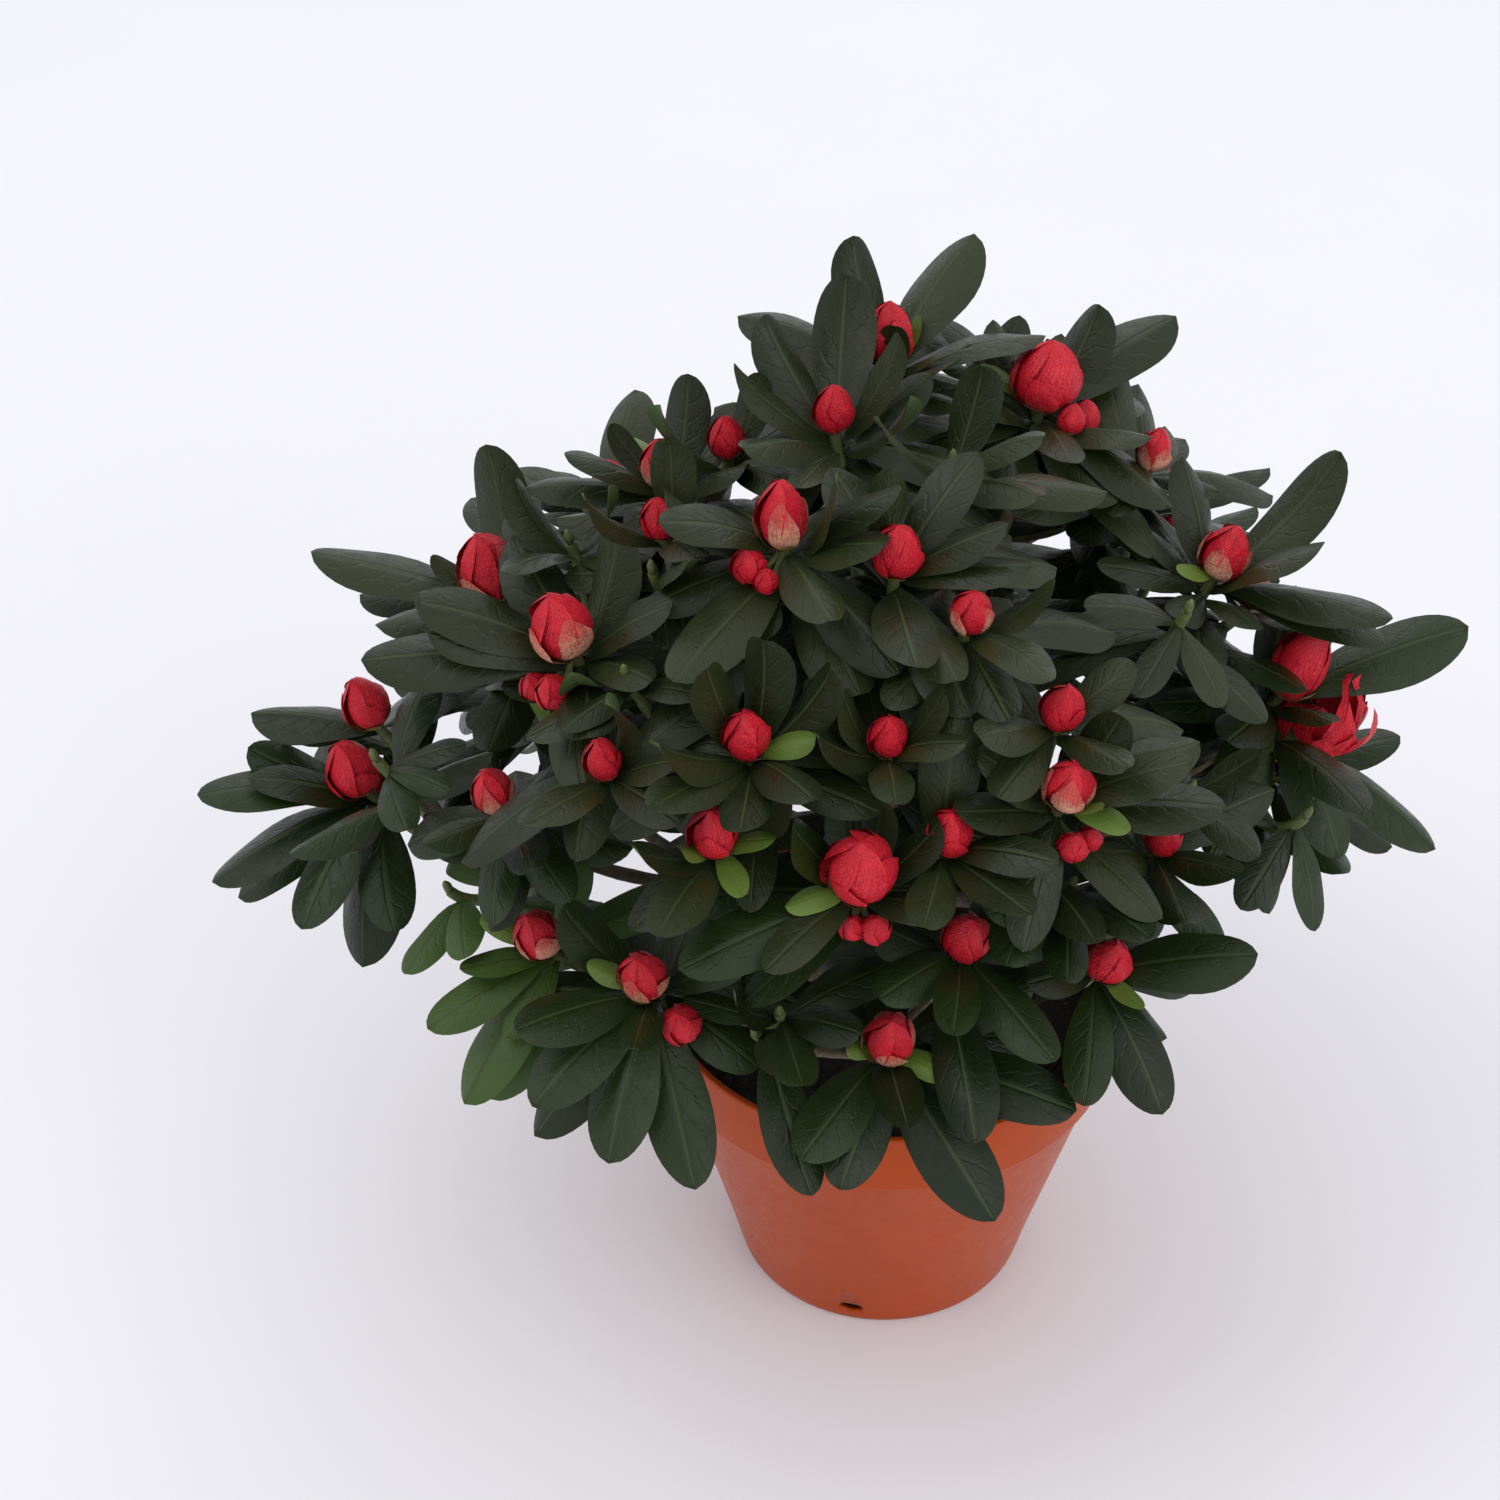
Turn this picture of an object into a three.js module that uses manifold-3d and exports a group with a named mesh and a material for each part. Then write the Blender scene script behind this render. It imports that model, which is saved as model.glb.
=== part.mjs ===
// A potted azalea in bud: a plastic pot with its root ball, a short trunk that forks into boughs,
// and masses of foliage, each one stem that branches into leafy shoots with a flower bud at the tip.
// Millimetres, +Z up, -Y is the front. The origin is in the middle of the pot's flat underside.
import * as THREE from "three";
import { mergeVertices } from "three/addons/utils/BufferGeometryUtils.js";
import Module from "manifold-3d";

const wasm = await Module();
wasm.setup();

const pot = {
  height: 90,
  rimRadius: 60,
  bandHeight: 18.6,
  bandFootRadius: 59.2,
  baseRadius: 38.4,
  bodyTopRadius: 57.2,
  wall: 1.4,
  floor: 3,
  footChamfer: 1.6,
  grooveInner: 24,
  grooveOuter: 34,
  grooveDepth: 1.2,
  sides: 36,
  drainHoles: 4,
  drainTurn: -13,
  drainHeight: 6,
  drainWidth: 6.6,
  drainTall: 4,
};
const rootBall = { top: 81, edgeTop: 79, wallGap: 0.5, flatRadius: 16 };
const seatGap = 0.3;
const leafGap = 0.35;

// The dome on which the shoots' tips lie, and how far they lean away from upright.
const crown = { centre: new THREE.Vector3(-8, 0, 130), radii: new THREE.Vector3(118, 112, 128), upright: 1.2 };
const trunk = {
  carries: "top",
  height: 190,
  bendHeight: 160,
  footRadius: 5.2,
  tipRadius: 3.1,
  flareRadius: 2.6,
  flareHeight: 9,
  lowestBough: 92,
  highestBough: 160,
};
const bough = {
  footRadius: 2.1,
  tipRadius: 1.7,
  share: 0.56,
  sweeps: [0.45, 0.3, 0.6, 0.15],
  clearance: 1.2,
  heightStep: 1.6,
  heightSteps: 26,
};
const twig = {
  footRadius: 1.8,
  tipRadius: 1.6,
  steps: 3,
  sag: 0.004,
  branchPoints: [0.45, 0.3, 0.6, 0.15],
  sweeps: [0.5, 0.3, 0.7],
};
const leaf = {
  count: 7,
  length: 47,
  width: 20,
  widestAt: 0.56,
  ridge: 1.3,
  stalk: 0.5,
  youngTilt: 46,
  oldTilt: 96,
  firstBelow: 3,
  spread: 12,
};
const bud = { tallness: 1.45, sunk: 0.1, taper: 0.12 };
const goldenTurn = 137.508;

// Each mass of foliage: its leading shoot stands "around" degrees from the front, "reach" out from the
// pot's axis and "height" above the ground, and carries a bud so wide. Its side shoots are
// [turn round the leading one, distance from it, width of the bud or 0].
const masses = [
  { name: "left_arm", around: -92, reach: 133, height: 150, bud: 13, sides: [[105, 18, 12], [50, 36, 0]] },
  { name: "upper_left", around: -95, reach: 97, height: 207, bud: 14, sides: [[180, 30, 0], [20, 36, 0]] },
  { name: "left_shoulder", around: -66, reach: 85, height: 222, bud: 14, sides: [[150, 30, 0], [340, 34, 9]] },
  { name: "left_flank", around: -66, reach: 103, height: 182, bud: 11, sides: [[250, 36, 0]] },
  { name: "top_left", around: -96, reach: 56, height: 240, bud: 11, sides: [[105, 16, 9], [0, 32, 0]] },
  { name: "top", around: -118, reach: 19, height: 253, bud: 10, sides: [[200, 28, 0]] },
  { name: "top_back", around: -176, reach: 42, height: 252, bud: 13, sides: [[200, 32, 0]] },
  { name: "top_right", around: 138, reach: 51, height: 242, bud: 15, sides: [[215, 30, 9], [300, 38, 0]] },
  { name: "high_front", around: -43, reach: 42, height: 249, bud: 12, sides: [[195, 30, 9]] },
  { name: "high_right", around: -6, reach: 38, height: 246, bud: 12, sides: [[315, 21, 10], [60, 34, 0]] },
  { name: "mid_left", around: -28, reach: 78, height: 220, bud: 11, sides: [[265, 22, 12], [165, 34, 0]] },
  { name: "mid_front", around: -8, reach: 87, height: 196, bud: 16, sides: [[80, 30, 9], [25, 21, 11]] },
  { name: "mid_right", around: 24, reach: 81, height: 210, bud: 12, sides: [[75, 17, 10], [345, 34, 0]] },
  { name: "right_shoulder", around: 96, reach: 76, height: 213, bud: 13, sides: [[290, 19, 9], [150, 34, 0]] },
  { name: "right_arm", around: 90, reach: 94, height: 184, bud: 15, sides: [[275, 18, 16], [205, 34, 0]] },
  { name: "right_flank", around: 46, reach: 80, height: 181, bud: 9, sides: [[170, 28, 0]] },
  { name: "skirt_left", around: -39, reach: 95, height: 154, bud: 12, sides: [[190, 33, 12], [10, 34, 0]] },
  { name: "skirt_front", around: -3, reach: 88, height: 148, bud: 13, sides: [[55, 30, 12], [175, 30, 0]] },
  { name: "skirt_right", around: 31, reach: 87, height: 160, bud: 11, sides: [[110, 32, 0]] },
  { name: "back_high", around: 165, reach: 78, height: 208, bud: 13, sides: [[180, 36, 11], [350, 36, 0]] },
  { name: "back_left", around: -132, reach: 104, height: 172, bud: 14, sides: [[80, 36, 10], [200, 38, 0]] },
  { name: "back_right", around: 134, reach: 98, height: 174, bud: 12, sides: [[100, 34, 11], [200, 38, 0]] },
  { name: "back_middle", around: 178, reach: 107, height: 172, bud: 15, sides: [[20, 36, 12], [200, 38, 0]] },
  { name: "back_skirt_left", around: -118, reach: 112, height: 143, bud: 12, sides: [[170, 38, 11]] },
  { name: "back_skirt", around: -176, reach: 96, height: 136, bud: 11, sides: [[150, 36, 0], [20, 38, 12]] },
  { name: "back_skirt_right", around: 118, reach: 100, height: 142, bud: 13, sides: [[20, 38, 0], [165, 38, 10]] },
];

const up = new THREE.Vector3(0, 0, 1);
const radians = THREE.MathUtils.degToRad;
const lerp = THREE.MathUtils.lerp;

// The same number from 0 to 1 for the same mass, shoot, leaf and use, every time.
function chance(mass, shoot, item, use) {
  const wave = Math.sin(mass * 12.9898 + shoot * 78.233 + item * 37.719 + use * 4.1414) * 43758.5453;
  return wave - Math.floor(wave);
}

function toSolid(geometry) {
  const bare = geometry.clone();
  bare.deleteAttribute("normal");
  bare.deleteAttribute("uv");
  const merged = mergeVertices(bare, 1e-4);
  return new wasm.Manifold(
    new wasm.Mesh({
      numProp: 3,
      vertProperties: merged.attributes.position.array,
      triVerts: new Uint32Array(merged.index.array),
    }),
  );
}

function toGeometry(solid) {
  const made = solid.getMesh();
  const geometry = new THREE.BufferGeometry();
  geometry.setAttribute("position", new THREE.BufferAttribute(new Float32Array(made.vertProperties), 3));
  geometry.setIndex(new THREE.BufferAttribute(new Uint32Array(made.triVerts), 1));
  return geometry;
}

// Moves every vertex of a three.js geometry to where place(vertex) says.
function bend(geometry, place) {
  const position = geometry.attributes.position;
  const vertex = new THREE.Vector3();
  for (let i = 0; i < position.count; i++) {
    vertex.fromBufferAttribute(position, i);
    const moved = place(vertex);
    position.setXYZ(i, moved.x, moved.y, moved.z);
  }
  return geometry;
}

function turned(profile, sides) {
  const points = profile.map(([radius, height]) => new THREE.Vector2(radius, height));
  return new THREE.LatheGeometry(points, sides).rotateX(Math.PI / 2);
}

// A closed limb along a curve, with a radius that changes along it and flat square ends.
function limb(curve, radiusAt, sides, steps) {
  const frames = curve.computeFrenetFrames(steps);
  const tube = new THREE.CylinderGeometry(1, 1, 1, sides, steps);
  return bend(tube, (vertex) => {
    const ring = Math.round((vertex.y + 0.5) * steps);
    const radius = radiusAt(ring / steps);
    return curve
      .getPointAt(ring / steps)
      .addScaledVector(frames.normals[ring], vertex.x * radius)
      .addScaledVector(frames.binormals[ring], -vertex.z * radius);
  });
}

// A point on the straight steps of a limb that follows a curve.
function onChord(curve, share, steps) {
  const ring = Math.floor(share * steps);
  return curve.getPointAt(ring / steps).lerp(curve.getPointAt((ring + 1) / steps), share * steps - ring);
}

// The stretch of a quadratic curve from one parameter to another, as a quadratic curve of its own.
function stretch(curve, from, to) {
  const middle = curve.v0
    .clone()
    .multiplyScalar((1 - from) * (1 - to))
    .addScaledVector(curve.v1, (1 - from) * to + from * (1 - to))
    .addScaledVector(curve.v2, from * to);
  return new THREE.QuadraticBezierCurve3(curve.getPoint(from), middle, curve.getPoint(to));
}

// The outward direction of the dome at a point, and the two directions along its surface.
function domeFrame(point) {
  const outward = point.clone().sub(crown.centre).divide(crown.radii).divide(crown.radii).normalize();
  const angle = Math.atan2(point.x - crown.centre.x, crown.centre.y - point.y);
  const right = new THREE.Vector3(Math.cos(angle), Math.sin(angle), 0);
  const upward = right.clone().cross(outward).negate();
  return { outward, right, upward };
}

function shootAxis(point) {
  return domeFrame(point).outward.addScaledVector(up, crown.upright).normalize();
}

function leadTip({ around, reach, height }) {
  return new THREE.Vector3(reach * Math.sin(radians(around)), -reach * Math.cos(radians(around)), height);
}

function sideTip(lead, [turn, distance]) {
  const { outward, right, upward } = domeFrame(lead);
  return lead
    .clone()
    .addScaledVector(right, distance * Math.cos(radians(turn)))
    .addScaledVector(upward, distance * Math.sin(radians(turn)))
    .addScaledVector(outward, -twig.sag * distance * distance);
}

// A curve that leaves one point and arrives at a shoot's tip along the shoot's axis.
function sweepTo(start, tip, sweep) {
  const control = tip.clone().addScaledVector(shootAxis(tip), -sweep * start.distanceTo(tip));
  return new THREE.QuadraticBezierCurve3(start, control, tip);
}

const trunkLine = new THREE.QuadraticBezierCurve3(
  new THREE.Vector3(0, 0, rootBall.top + seatGap),
  new THREE.Vector3(0, 0, trunk.bendHeight),
  leadTip(masses.find((mass) => mass.name === trunk.carries)),
);

function trunkRadius(height) {
  const along = (height - rootBall.top) / (trunk.highestBough - rootBall.top);
  const flare = Math.max(0, 1 - (height - rootBall.top) / trunk.flareHeight);
  return lerp(trunk.footRadius, trunk.tipRadius, Math.min(1, along)) + trunk.flareRadius * flare * flare;
}

// Where the trunk's line reaches a height, found by halving.
function trunkShare(height) {
  let low = 0;
  let high = 1;
  for (let i = 0; i < 30; i++) {
    const middle = (low + high) / 2;
    if (trunkLine.getPoint(middle).z < height) low = middle;
    else high = middle;
  }
  return low;
}

// The least distance from a line to those placed before it, measured from the trunk's bark outwards.
function lineGap(line, barkRadius, placed) {
  let least = Infinity;
  const points = line.getPoints(40);
  const outside = points.filter((point) => point.distanceTo(points[0]) > barkRadius);
  for (const point of outside) {
    for (const other of placed) least = Math.min(least, point.distanceTo(other));
  }
  return { least, outside };
}

// Boughs leave the trunk at heights that follow the order of their masses' heights. Each takes the
// nearest height, and the first sweep, at which its line keeps clear of the boughs placed before it.
function boughLines() {
  const wanted = 2 * bough.footRadius + bough.clearance;
  const borne = masses.filter((mass) => mass.name !== trunk.carries).sort((a, b) => a.height - b.height);
  const lines = new Map();
  const placed = [];
  borne.forEach((mass, rank) => {
    const nominal = lerp(trunk.lowestBough, trunk.highestBough, rank / (borne.length - 1));
    let best = null;
    for (let step = 0; step < bough.heightSteps && !(best && best.least > wanted); step++) {
      const shift = (step % 2 ? 1 : -1) * Math.ceil(step / 2) * bough.heightStep;
      const height = Math.max(trunk.lowestBough, nominal + shift);
      const start = trunkLine.getPoint(trunkShare(height));
      for (const sweep of bough.sweeps) {
        const line = sweepTo(start, leadTip(mass), sweep);
        const { least, outside } = lineGap(line, trunkRadius(height), placed);
        if (!best || least > best.least) best = { line, outside, least };
        if (least > wanted) break;
      }
    }
    placed.push(...best.outside);
    lines.set(mass.name, best.line);
  });
  return lines;
}

// One leaf, from a bent octahedron: three corners are its stalk, two are its edges and one is its tip.
// The ridge from stalk to tip is the midrib, and both edges lie a little below it.
function leafGeometry(root, direction, normal, length, width) {
  const side = direction.clone().cross(normal);
  const corner = (along, across, above) =>
    root
      .clone()
      .addScaledVector(direction, along)
      .addScaledVector(side, across)
      .addScaledVector(normal, above);
  const corners = {
    stalkLeft: corner(0, -leaf.stalk, leaf.stalk),
    stalkRight: corner(0, leaf.stalk, leaf.stalk),
    stalkUnder: corner(0, 0, -leaf.stalk),
    edgeLeft: corner(leaf.widestAt * length, -width / 2, -leaf.ridge),
    edgeRight: corner(leaf.widestAt * length, width / 2, -leaf.ridge),
    tip: corner(length, 0, 0),
  };
  return bend(new THREE.OctahedronGeometry(1), ({ x, y, z }) => {
    if (x > 0.5) return corners.stalkLeft;
    if (x < -0.5) return corners.edgeRight;
    if (y > 0.5) return corners.stalkUnder;
    if (y < -0.5) return corners.tip;
    return z > 0 ? corners.stalkRight : corners.edgeLeft;
  });
}

// A pointed bud that stands on the shoot's tip, a little wider below than above.
function budGeometry(tip, axis, width) {
  const side = new THREE.Vector3(1, 0, 0).cross(axis).normalize();
  const across = axis.clone().cross(side);
  return bend(new THREE.SphereGeometry(1, 5, 3), ({ x, y, z }) => {
    const half = (width / 2) * (1 - bud.taper * y);
    return tip
      .clone()
      .addScaledVector(axis, (y * 0.5 + 0.5 - bud.sunk) * width * bud.tallness)
      .addScaledVector(side, x * half)
      .addScaledVector(across, -z * half);
  });
}

// The leaves of a shoot: a spiral from the youngest, upright and close to the tip, to the oldest,
// lower and flatter. Angles are in degrees: round the shoot, and away from its axis.
function leafPlan(massIndex, shootNumber) {
  const spin = 360 * chance(massIndex, shootNumber, 0, 1);
  const plan = [];
  for (let k = 0; k < leaf.count; k++) {
    const age = k / (leaf.count - 1);
    plan.push({
      turn: spin + k * goldenTurn + 16 * (chance(massIndex, shootNumber, k, 2) - 0.5),
      tilt: lerp(leaf.youngTilt, leaf.oldTilt, age) + 14 * (chance(massIndex, shootNumber, k, 3) - 0.5),
      length: leaf.length * lerp(0.84, 1.08, age) * lerp(0.9, 1.1, chance(massIndex, shootNumber, k, 4)),
      width: leaf.width * lerp(0.88, 1.1, chance(massIndex, shootNumber, k, 5)),
      below: leaf.firstBelow + leaf.spread * age,
    });
  }
  return plan;
}

const pieces = [];

function boxesNear(a, b, gap) {
  return [0, 1, 2].every((i) => a.min[i] - gap < b.max[i] && b.min[i] - gap < a.max[i]);
}

// Whether a solid keeps a gap to every piece placed so far, apart from those that it is fused to.
function isClear(solid, gap, fusedTo) {
  const box = solid.boundingBox();
  return !pieces.some(
    (piece) =>
      !fusedTo(piece) && boxesNear(piece.box, box, gap) && piece.solid.minGap(solid, gap * 2) < gap,
  );
}

function keep(owner, solid, shoot) {
  const piece = { owner, solid, shoot, box: solid.boundingBox() };
  pieces.push(piece);
  return piece;
}

const plant = new THREE.Group();

function addNode(name, solid, colour, roughness) {
  const material = new THREE.MeshStandardMaterial({ color: colour, roughness, metalness: 0 });
  const mesh = new THREE.Mesh(toGeometry(solid), material);
  mesh.name = name;
  plant.add(mesh);
}

// The pot and the root ball that fills it up to its domed top.
const bandFoot = pot.height - pot.bandHeight;
const bodySlope = (pot.bodyTopRadius - pot.baseRadius) / (bandFoot - pot.footChamfer);
const innerRadius = (height) => pot.baseRadius + bodySlope * (height - pot.footChamfer) - pot.wall;
const potProfile = [
  [0, 0],
  [pot.grooveInner, 0],
  [pot.grooveInner + 1, pot.grooveDepth],
  [pot.grooveOuter - 1, pot.grooveDepth],
  [pot.grooveOuter, 0],
  [pot.baseRadius - pot.footChamfer, 0],
  [pot.baseRadius, pot.footChamfer],
  [pot.bodyTopRadius, bandFoot],
  [pot.bandFootRadius, bandFoot],
  [pot.rimRadius, pot.height - 1],
  [pot.rimRadius - 0.6, pot.height],
  [pot.rimRadius - pot.wall - 0.4, pot.height],
  [pot.bandFootRadius - pot.wall, bandFoot + pot.wall],
  [innerRadius(bandFoot), bandFoot + pot.wall],
  [innerRadius(pot.floor), pot.floor],
  [0, pot.floor],
];
let potSolid = toSolid(turned(potProfile, pot.sides));
for (let i = 0; i < pot.drainHoles; i++) {
  const drill = new THREE.CylinderGeometry(1, 1, 12, 10)
    .scale(pot.drainWidth / 2, 1, pot.drainTall / 2)
    .translate(0, -pot.baseRadius - 1, pot.drainHeight)
    .rotateZ(radians(pot.drainTurn + (i * 360) / pot.drainHoles));
  potSolid = potSolid.subtract(toSolid(drill));
}
keep("pot", potSolid);
addNode("pot", potSolid, 0xa5482a, 0.45);

const rootProfile = [
  [0, pot.floor + seatGap],
  [innerRadius(pot.floor) - rootBall.wallGap, pot.floor + seatGap],
  [innerRadius(bandFoot) - rootBall.wallGap, bandFoot],
  [innerRadius(bandFoot) - rootBall.wallGap, rootBall.edgeTop],
  [rootBall.flatRadius, rootBall.top],
  [0, rootBall.top],
];
const rootSolid = toSolid(turned(rootProfile, pot.sides));
keep("root_ball", rootSolid);
addNode("root_ball", rootSolid, 0x1d1512, 0.95);

// The trunk stands on the root ball. A sleeve a seat gap wider cuts the foot of every bough.
const trunkEnd = trunkShare(trunk.height);
const trunkPath = stretch(trunkLine, 0, trunkEnd);
const trunkSolid = (grow) =>
  toSolid(limb(trunkPath, (along) => trunkRadius(trunkPath.getPointAt(along).z) + grow, 8, 9));
const trunkSleeve = trunkSolid(seatGap + 0.05);
keep("trunk", trunkSolid(0));
addNode("trunk", trunkSolid(0), 0x6b5138, 0.85);

// Each bough ends where it enters its mass, and the mass's stem goes on from there along the same line.
const boughPaths = boughLines();
const stems = new Map();
for (const { name } of masses) {
  const byTrunk = name === trunk.carries;
  const path = byTrunk ? trunkLine : boughPaths.get(name);
  const end = byTrunk ? trunkEnd : bough.share;
  if (!byTrunk) {
    const radiusAt = (along) => lerp(bough.footRadius, bough.tipRadius, along);
    const cut = toSolid(limb(stretch(path, 0, end), radiusAt, 5, 3)).subtract(trunkSleeve);
    const whole = cut.decompose().sort((a, b) => b.volume() - a.volume())[0];
    keep("bough_" + name, whole);
    addNode("bough_" + name, whole, 0x6b5138, 0.85);
  }
  const speed = path.getPoint(end + 0.01).distanceTo(path.getPoint(end)) / 0.01;
  stems.set(name, stretch(path, end + seatGap / speed, 1));
}

const shoots = [];
const twigRadius = (along) => lerp(twig.footRadius, twig.tipRadius, along);

// Adds a shoot with its twig and its bud, if both keep clear of the pieces they are not fused to.
function addShoot(mass, number, line, budWidth, gap, fusedTo) {
  const stalk = toSolid(limb(line, twigRadius, 3, twig.steps));
  const flower = budWidth && toSolid(budGeometry(line.v2, shootAxis(line.v2), budWidth));
  if (!isClear(stalk, gap, fusedTo)) return false;
  if (flower && !isClear(flower, gap, () => false)) return false;
  const piece = keep(mass.name, stalk);
  if (flower) keep(mass.name, flower);
  shoots.push({ mass, number, line, piece });
  return true;
}

for (const mass of masses) addShoot(mass, 0, stems.get(mass.name), mass.bud, 0.2, () => false);

// Side shoots branch from the stem, at the first point and with the first sweep that give them room.
for (const mass of masses) {
  const stem = stems.get(mass.name);
  const isOwn = (piece) => piece.owner === mass.name;
  mass.sides.forEach((side, index) => {
    const tip = sideTip(stem.v2, side);
    twig.branchPoints.some((from) =>
      twig.sweeps.some((sweep) => {
        const line = sweepTo(stem.getPoint(from), tip, sweep);
        return addShoot(mass, index + 1, line, side[2], leafGap, isOwn);
      }),
    );
  });
}

// How a leaf gives way when another piece is near: its scale, the degrees it rises and those it turns.
const ways = [];
for (const scale of [1, 0.82]) {
  for (const rise of [0, 8, -8, 16, -16, 24]) {
    for (const swing of [0, 12, -12]) ways.push({ scale, rise, swing });
  }
}

for (const { mass, number, line, piece } of shoots) {
  const axis = shootAxis(line.v2);
  const east = new THREE.Vector3(1, 0, 0).cross(axis).normalize();
  const north = axis.clone().cross(east);
  const shoot = mass.name + number;
  const isFused = (other) => other === piece || other.shoot === shoot;
  const span = line.getLength();
  for (const { turn, tilt, length, width, below } of leafPlan(masses.indexOf(mass), number)) {
    if (below > span - 2) continue;
    const root = onChord(line, 1 - below / span, twig.steps);
    for (const { scale, rise, swing } of ways) {
      const angle = radians(tilt - rise);
      const heading = radians(turn + swing);
      const away = east.clone().multiplyScalar(Math.cos(heading)).addScaledVector(north, Math.sin(heading));
      const direction = axis.clone().multiplyScalar(Math.cos(angle)).addScaledVector(away, Math.sin(angle));
      const normal = axis.clone().multiplyScalar(Math.sin(angle)).addScaledVector(away, -Math.cos(angle));
      const solid = toSolid(leafGeometry(root, direction, normal, length * scale, width * scale));
      if (isClear(solid, leafGap, isFused)) {
        keep(mass.name, solid, shoot);
        break;
      }
    }
  }
}

for (const { name } of masses) {
  const own = pieces.filter((piece) => piece.owner === name).map((piece) => piece.solid);
  const bodies = wasm.Manifold.union(own).decompose();
  addNode(name, bodies.sort((a, b) => b.volume() - a.volume())[0], 0x24351f, 0.5);
}

export default plant;
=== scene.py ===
import math

import bpy
import numpy as np
from mathutils import Matrix
from mathutils.bvhtree import BVHTree


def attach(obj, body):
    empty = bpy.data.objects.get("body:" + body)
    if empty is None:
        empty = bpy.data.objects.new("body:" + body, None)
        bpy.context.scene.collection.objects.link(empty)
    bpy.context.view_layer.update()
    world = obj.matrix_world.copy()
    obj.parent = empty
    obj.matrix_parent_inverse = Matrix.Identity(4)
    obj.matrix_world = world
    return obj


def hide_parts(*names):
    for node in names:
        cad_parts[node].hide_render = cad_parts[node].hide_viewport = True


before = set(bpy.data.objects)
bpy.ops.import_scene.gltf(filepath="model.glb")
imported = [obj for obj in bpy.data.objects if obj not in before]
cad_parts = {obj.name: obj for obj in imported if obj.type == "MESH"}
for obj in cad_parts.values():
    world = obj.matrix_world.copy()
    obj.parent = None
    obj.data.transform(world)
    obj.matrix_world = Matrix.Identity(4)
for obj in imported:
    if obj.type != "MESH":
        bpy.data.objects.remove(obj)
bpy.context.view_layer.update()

# lengths below are in millimetres, and meshes are scaled to metres where they are put in
mm = 0.001
up = np.array([0.0, 0.0, 1.0])
front = np.array([0.0, -1.0, 0.0])

# a whole turn in radians, near enough for a phase that is dealt out
wholeTurn = 6.28

# the camera stands a little left of the pot and looks down on it
view = {
    "sensor": 36.0,
    "nearest": 0.02,
    "lens": 76.8,
    "place": (-35.9, -616.1, 652.1),
    "lookDown": 38.34,
}

cameraData = bpy.data.cameras.new("camera")
cameraData.lens = view["lens"]
cameraData.sensor_width = view["sensor"]
cameraData.clip_start = view["nearest"]
camera = bpy.data.objects.new("camera", cameraData)
camera.location = [value * mm for value in view["place"]]
camera.rotation_euler = (math.radians(90.0 - view["lookDown"]), 0.0, 0.0)
bpy.context.scene.collection.objects.link(camera)
bpy.context.scene.camera = camera

# the crown's dome, and how far its shoots turn from the dome's outward direction to the upright
crown = {
    "centre": np.array([-8.0, 0.0, 130.0]),
    "radii": np.array([118.0, 112.0, 128.0]),
    "upright": 1.2,
}

# the pot and the soil's ball in it
potSize = {
    "height": 90.0,
    "rimRadius": 60.0,
    "bandHeight": 18.6,
    "bandFootRadius": 59.2,
    "baseRadius": 38.4,
    "bodyTopRadius": 57.2,
    "wall": 1.4,
}
rootBall = {"top": 81.0, "edgeTop": 79.0}

# wood: radii and heights, the sweeps that a line may take to its tip, and the room it needs round it
trunk = {
    "carries": "top",
    "footLift": 0.3,
    "samples": 4001,
    "height": 190.0,
    "bendHeight": 160.0,
    "footRadius": 5.2,
    "tipRadius": 3.1,
    "flareRadius": 2.6,
    "flareHeight": 9.0,
    "lowestBough": 92.0,
    "highestBough": 160.0,
}
bough = {
    "footRadius": 2.1,
    "tipRadius": 1.7,
    "share": 0.56,
    "sweeps": (0.45, 0.3, 0.6, 0.15),
    "clearance": 1.2,
    "heightStep": 1.6,
    "heightSteps": 26,
    "samples": 41,
    "overlap": 0.02,
}
twig = {
    "footRadius": 1.7,
    "tipRadius": 1.35,
    "sag": 0.004,
    "branchPoints": (0.45, 0.3, 0.6, 0.15),
    "sweeps": (0.5, 0.3, 0.7),
    "clearance": 3.9,
    "samples": 24,
    "fineSamples": 200,
}

# the turn in degrees from one leaf to the next up a shoot
goldenTurn = 137.508

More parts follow.
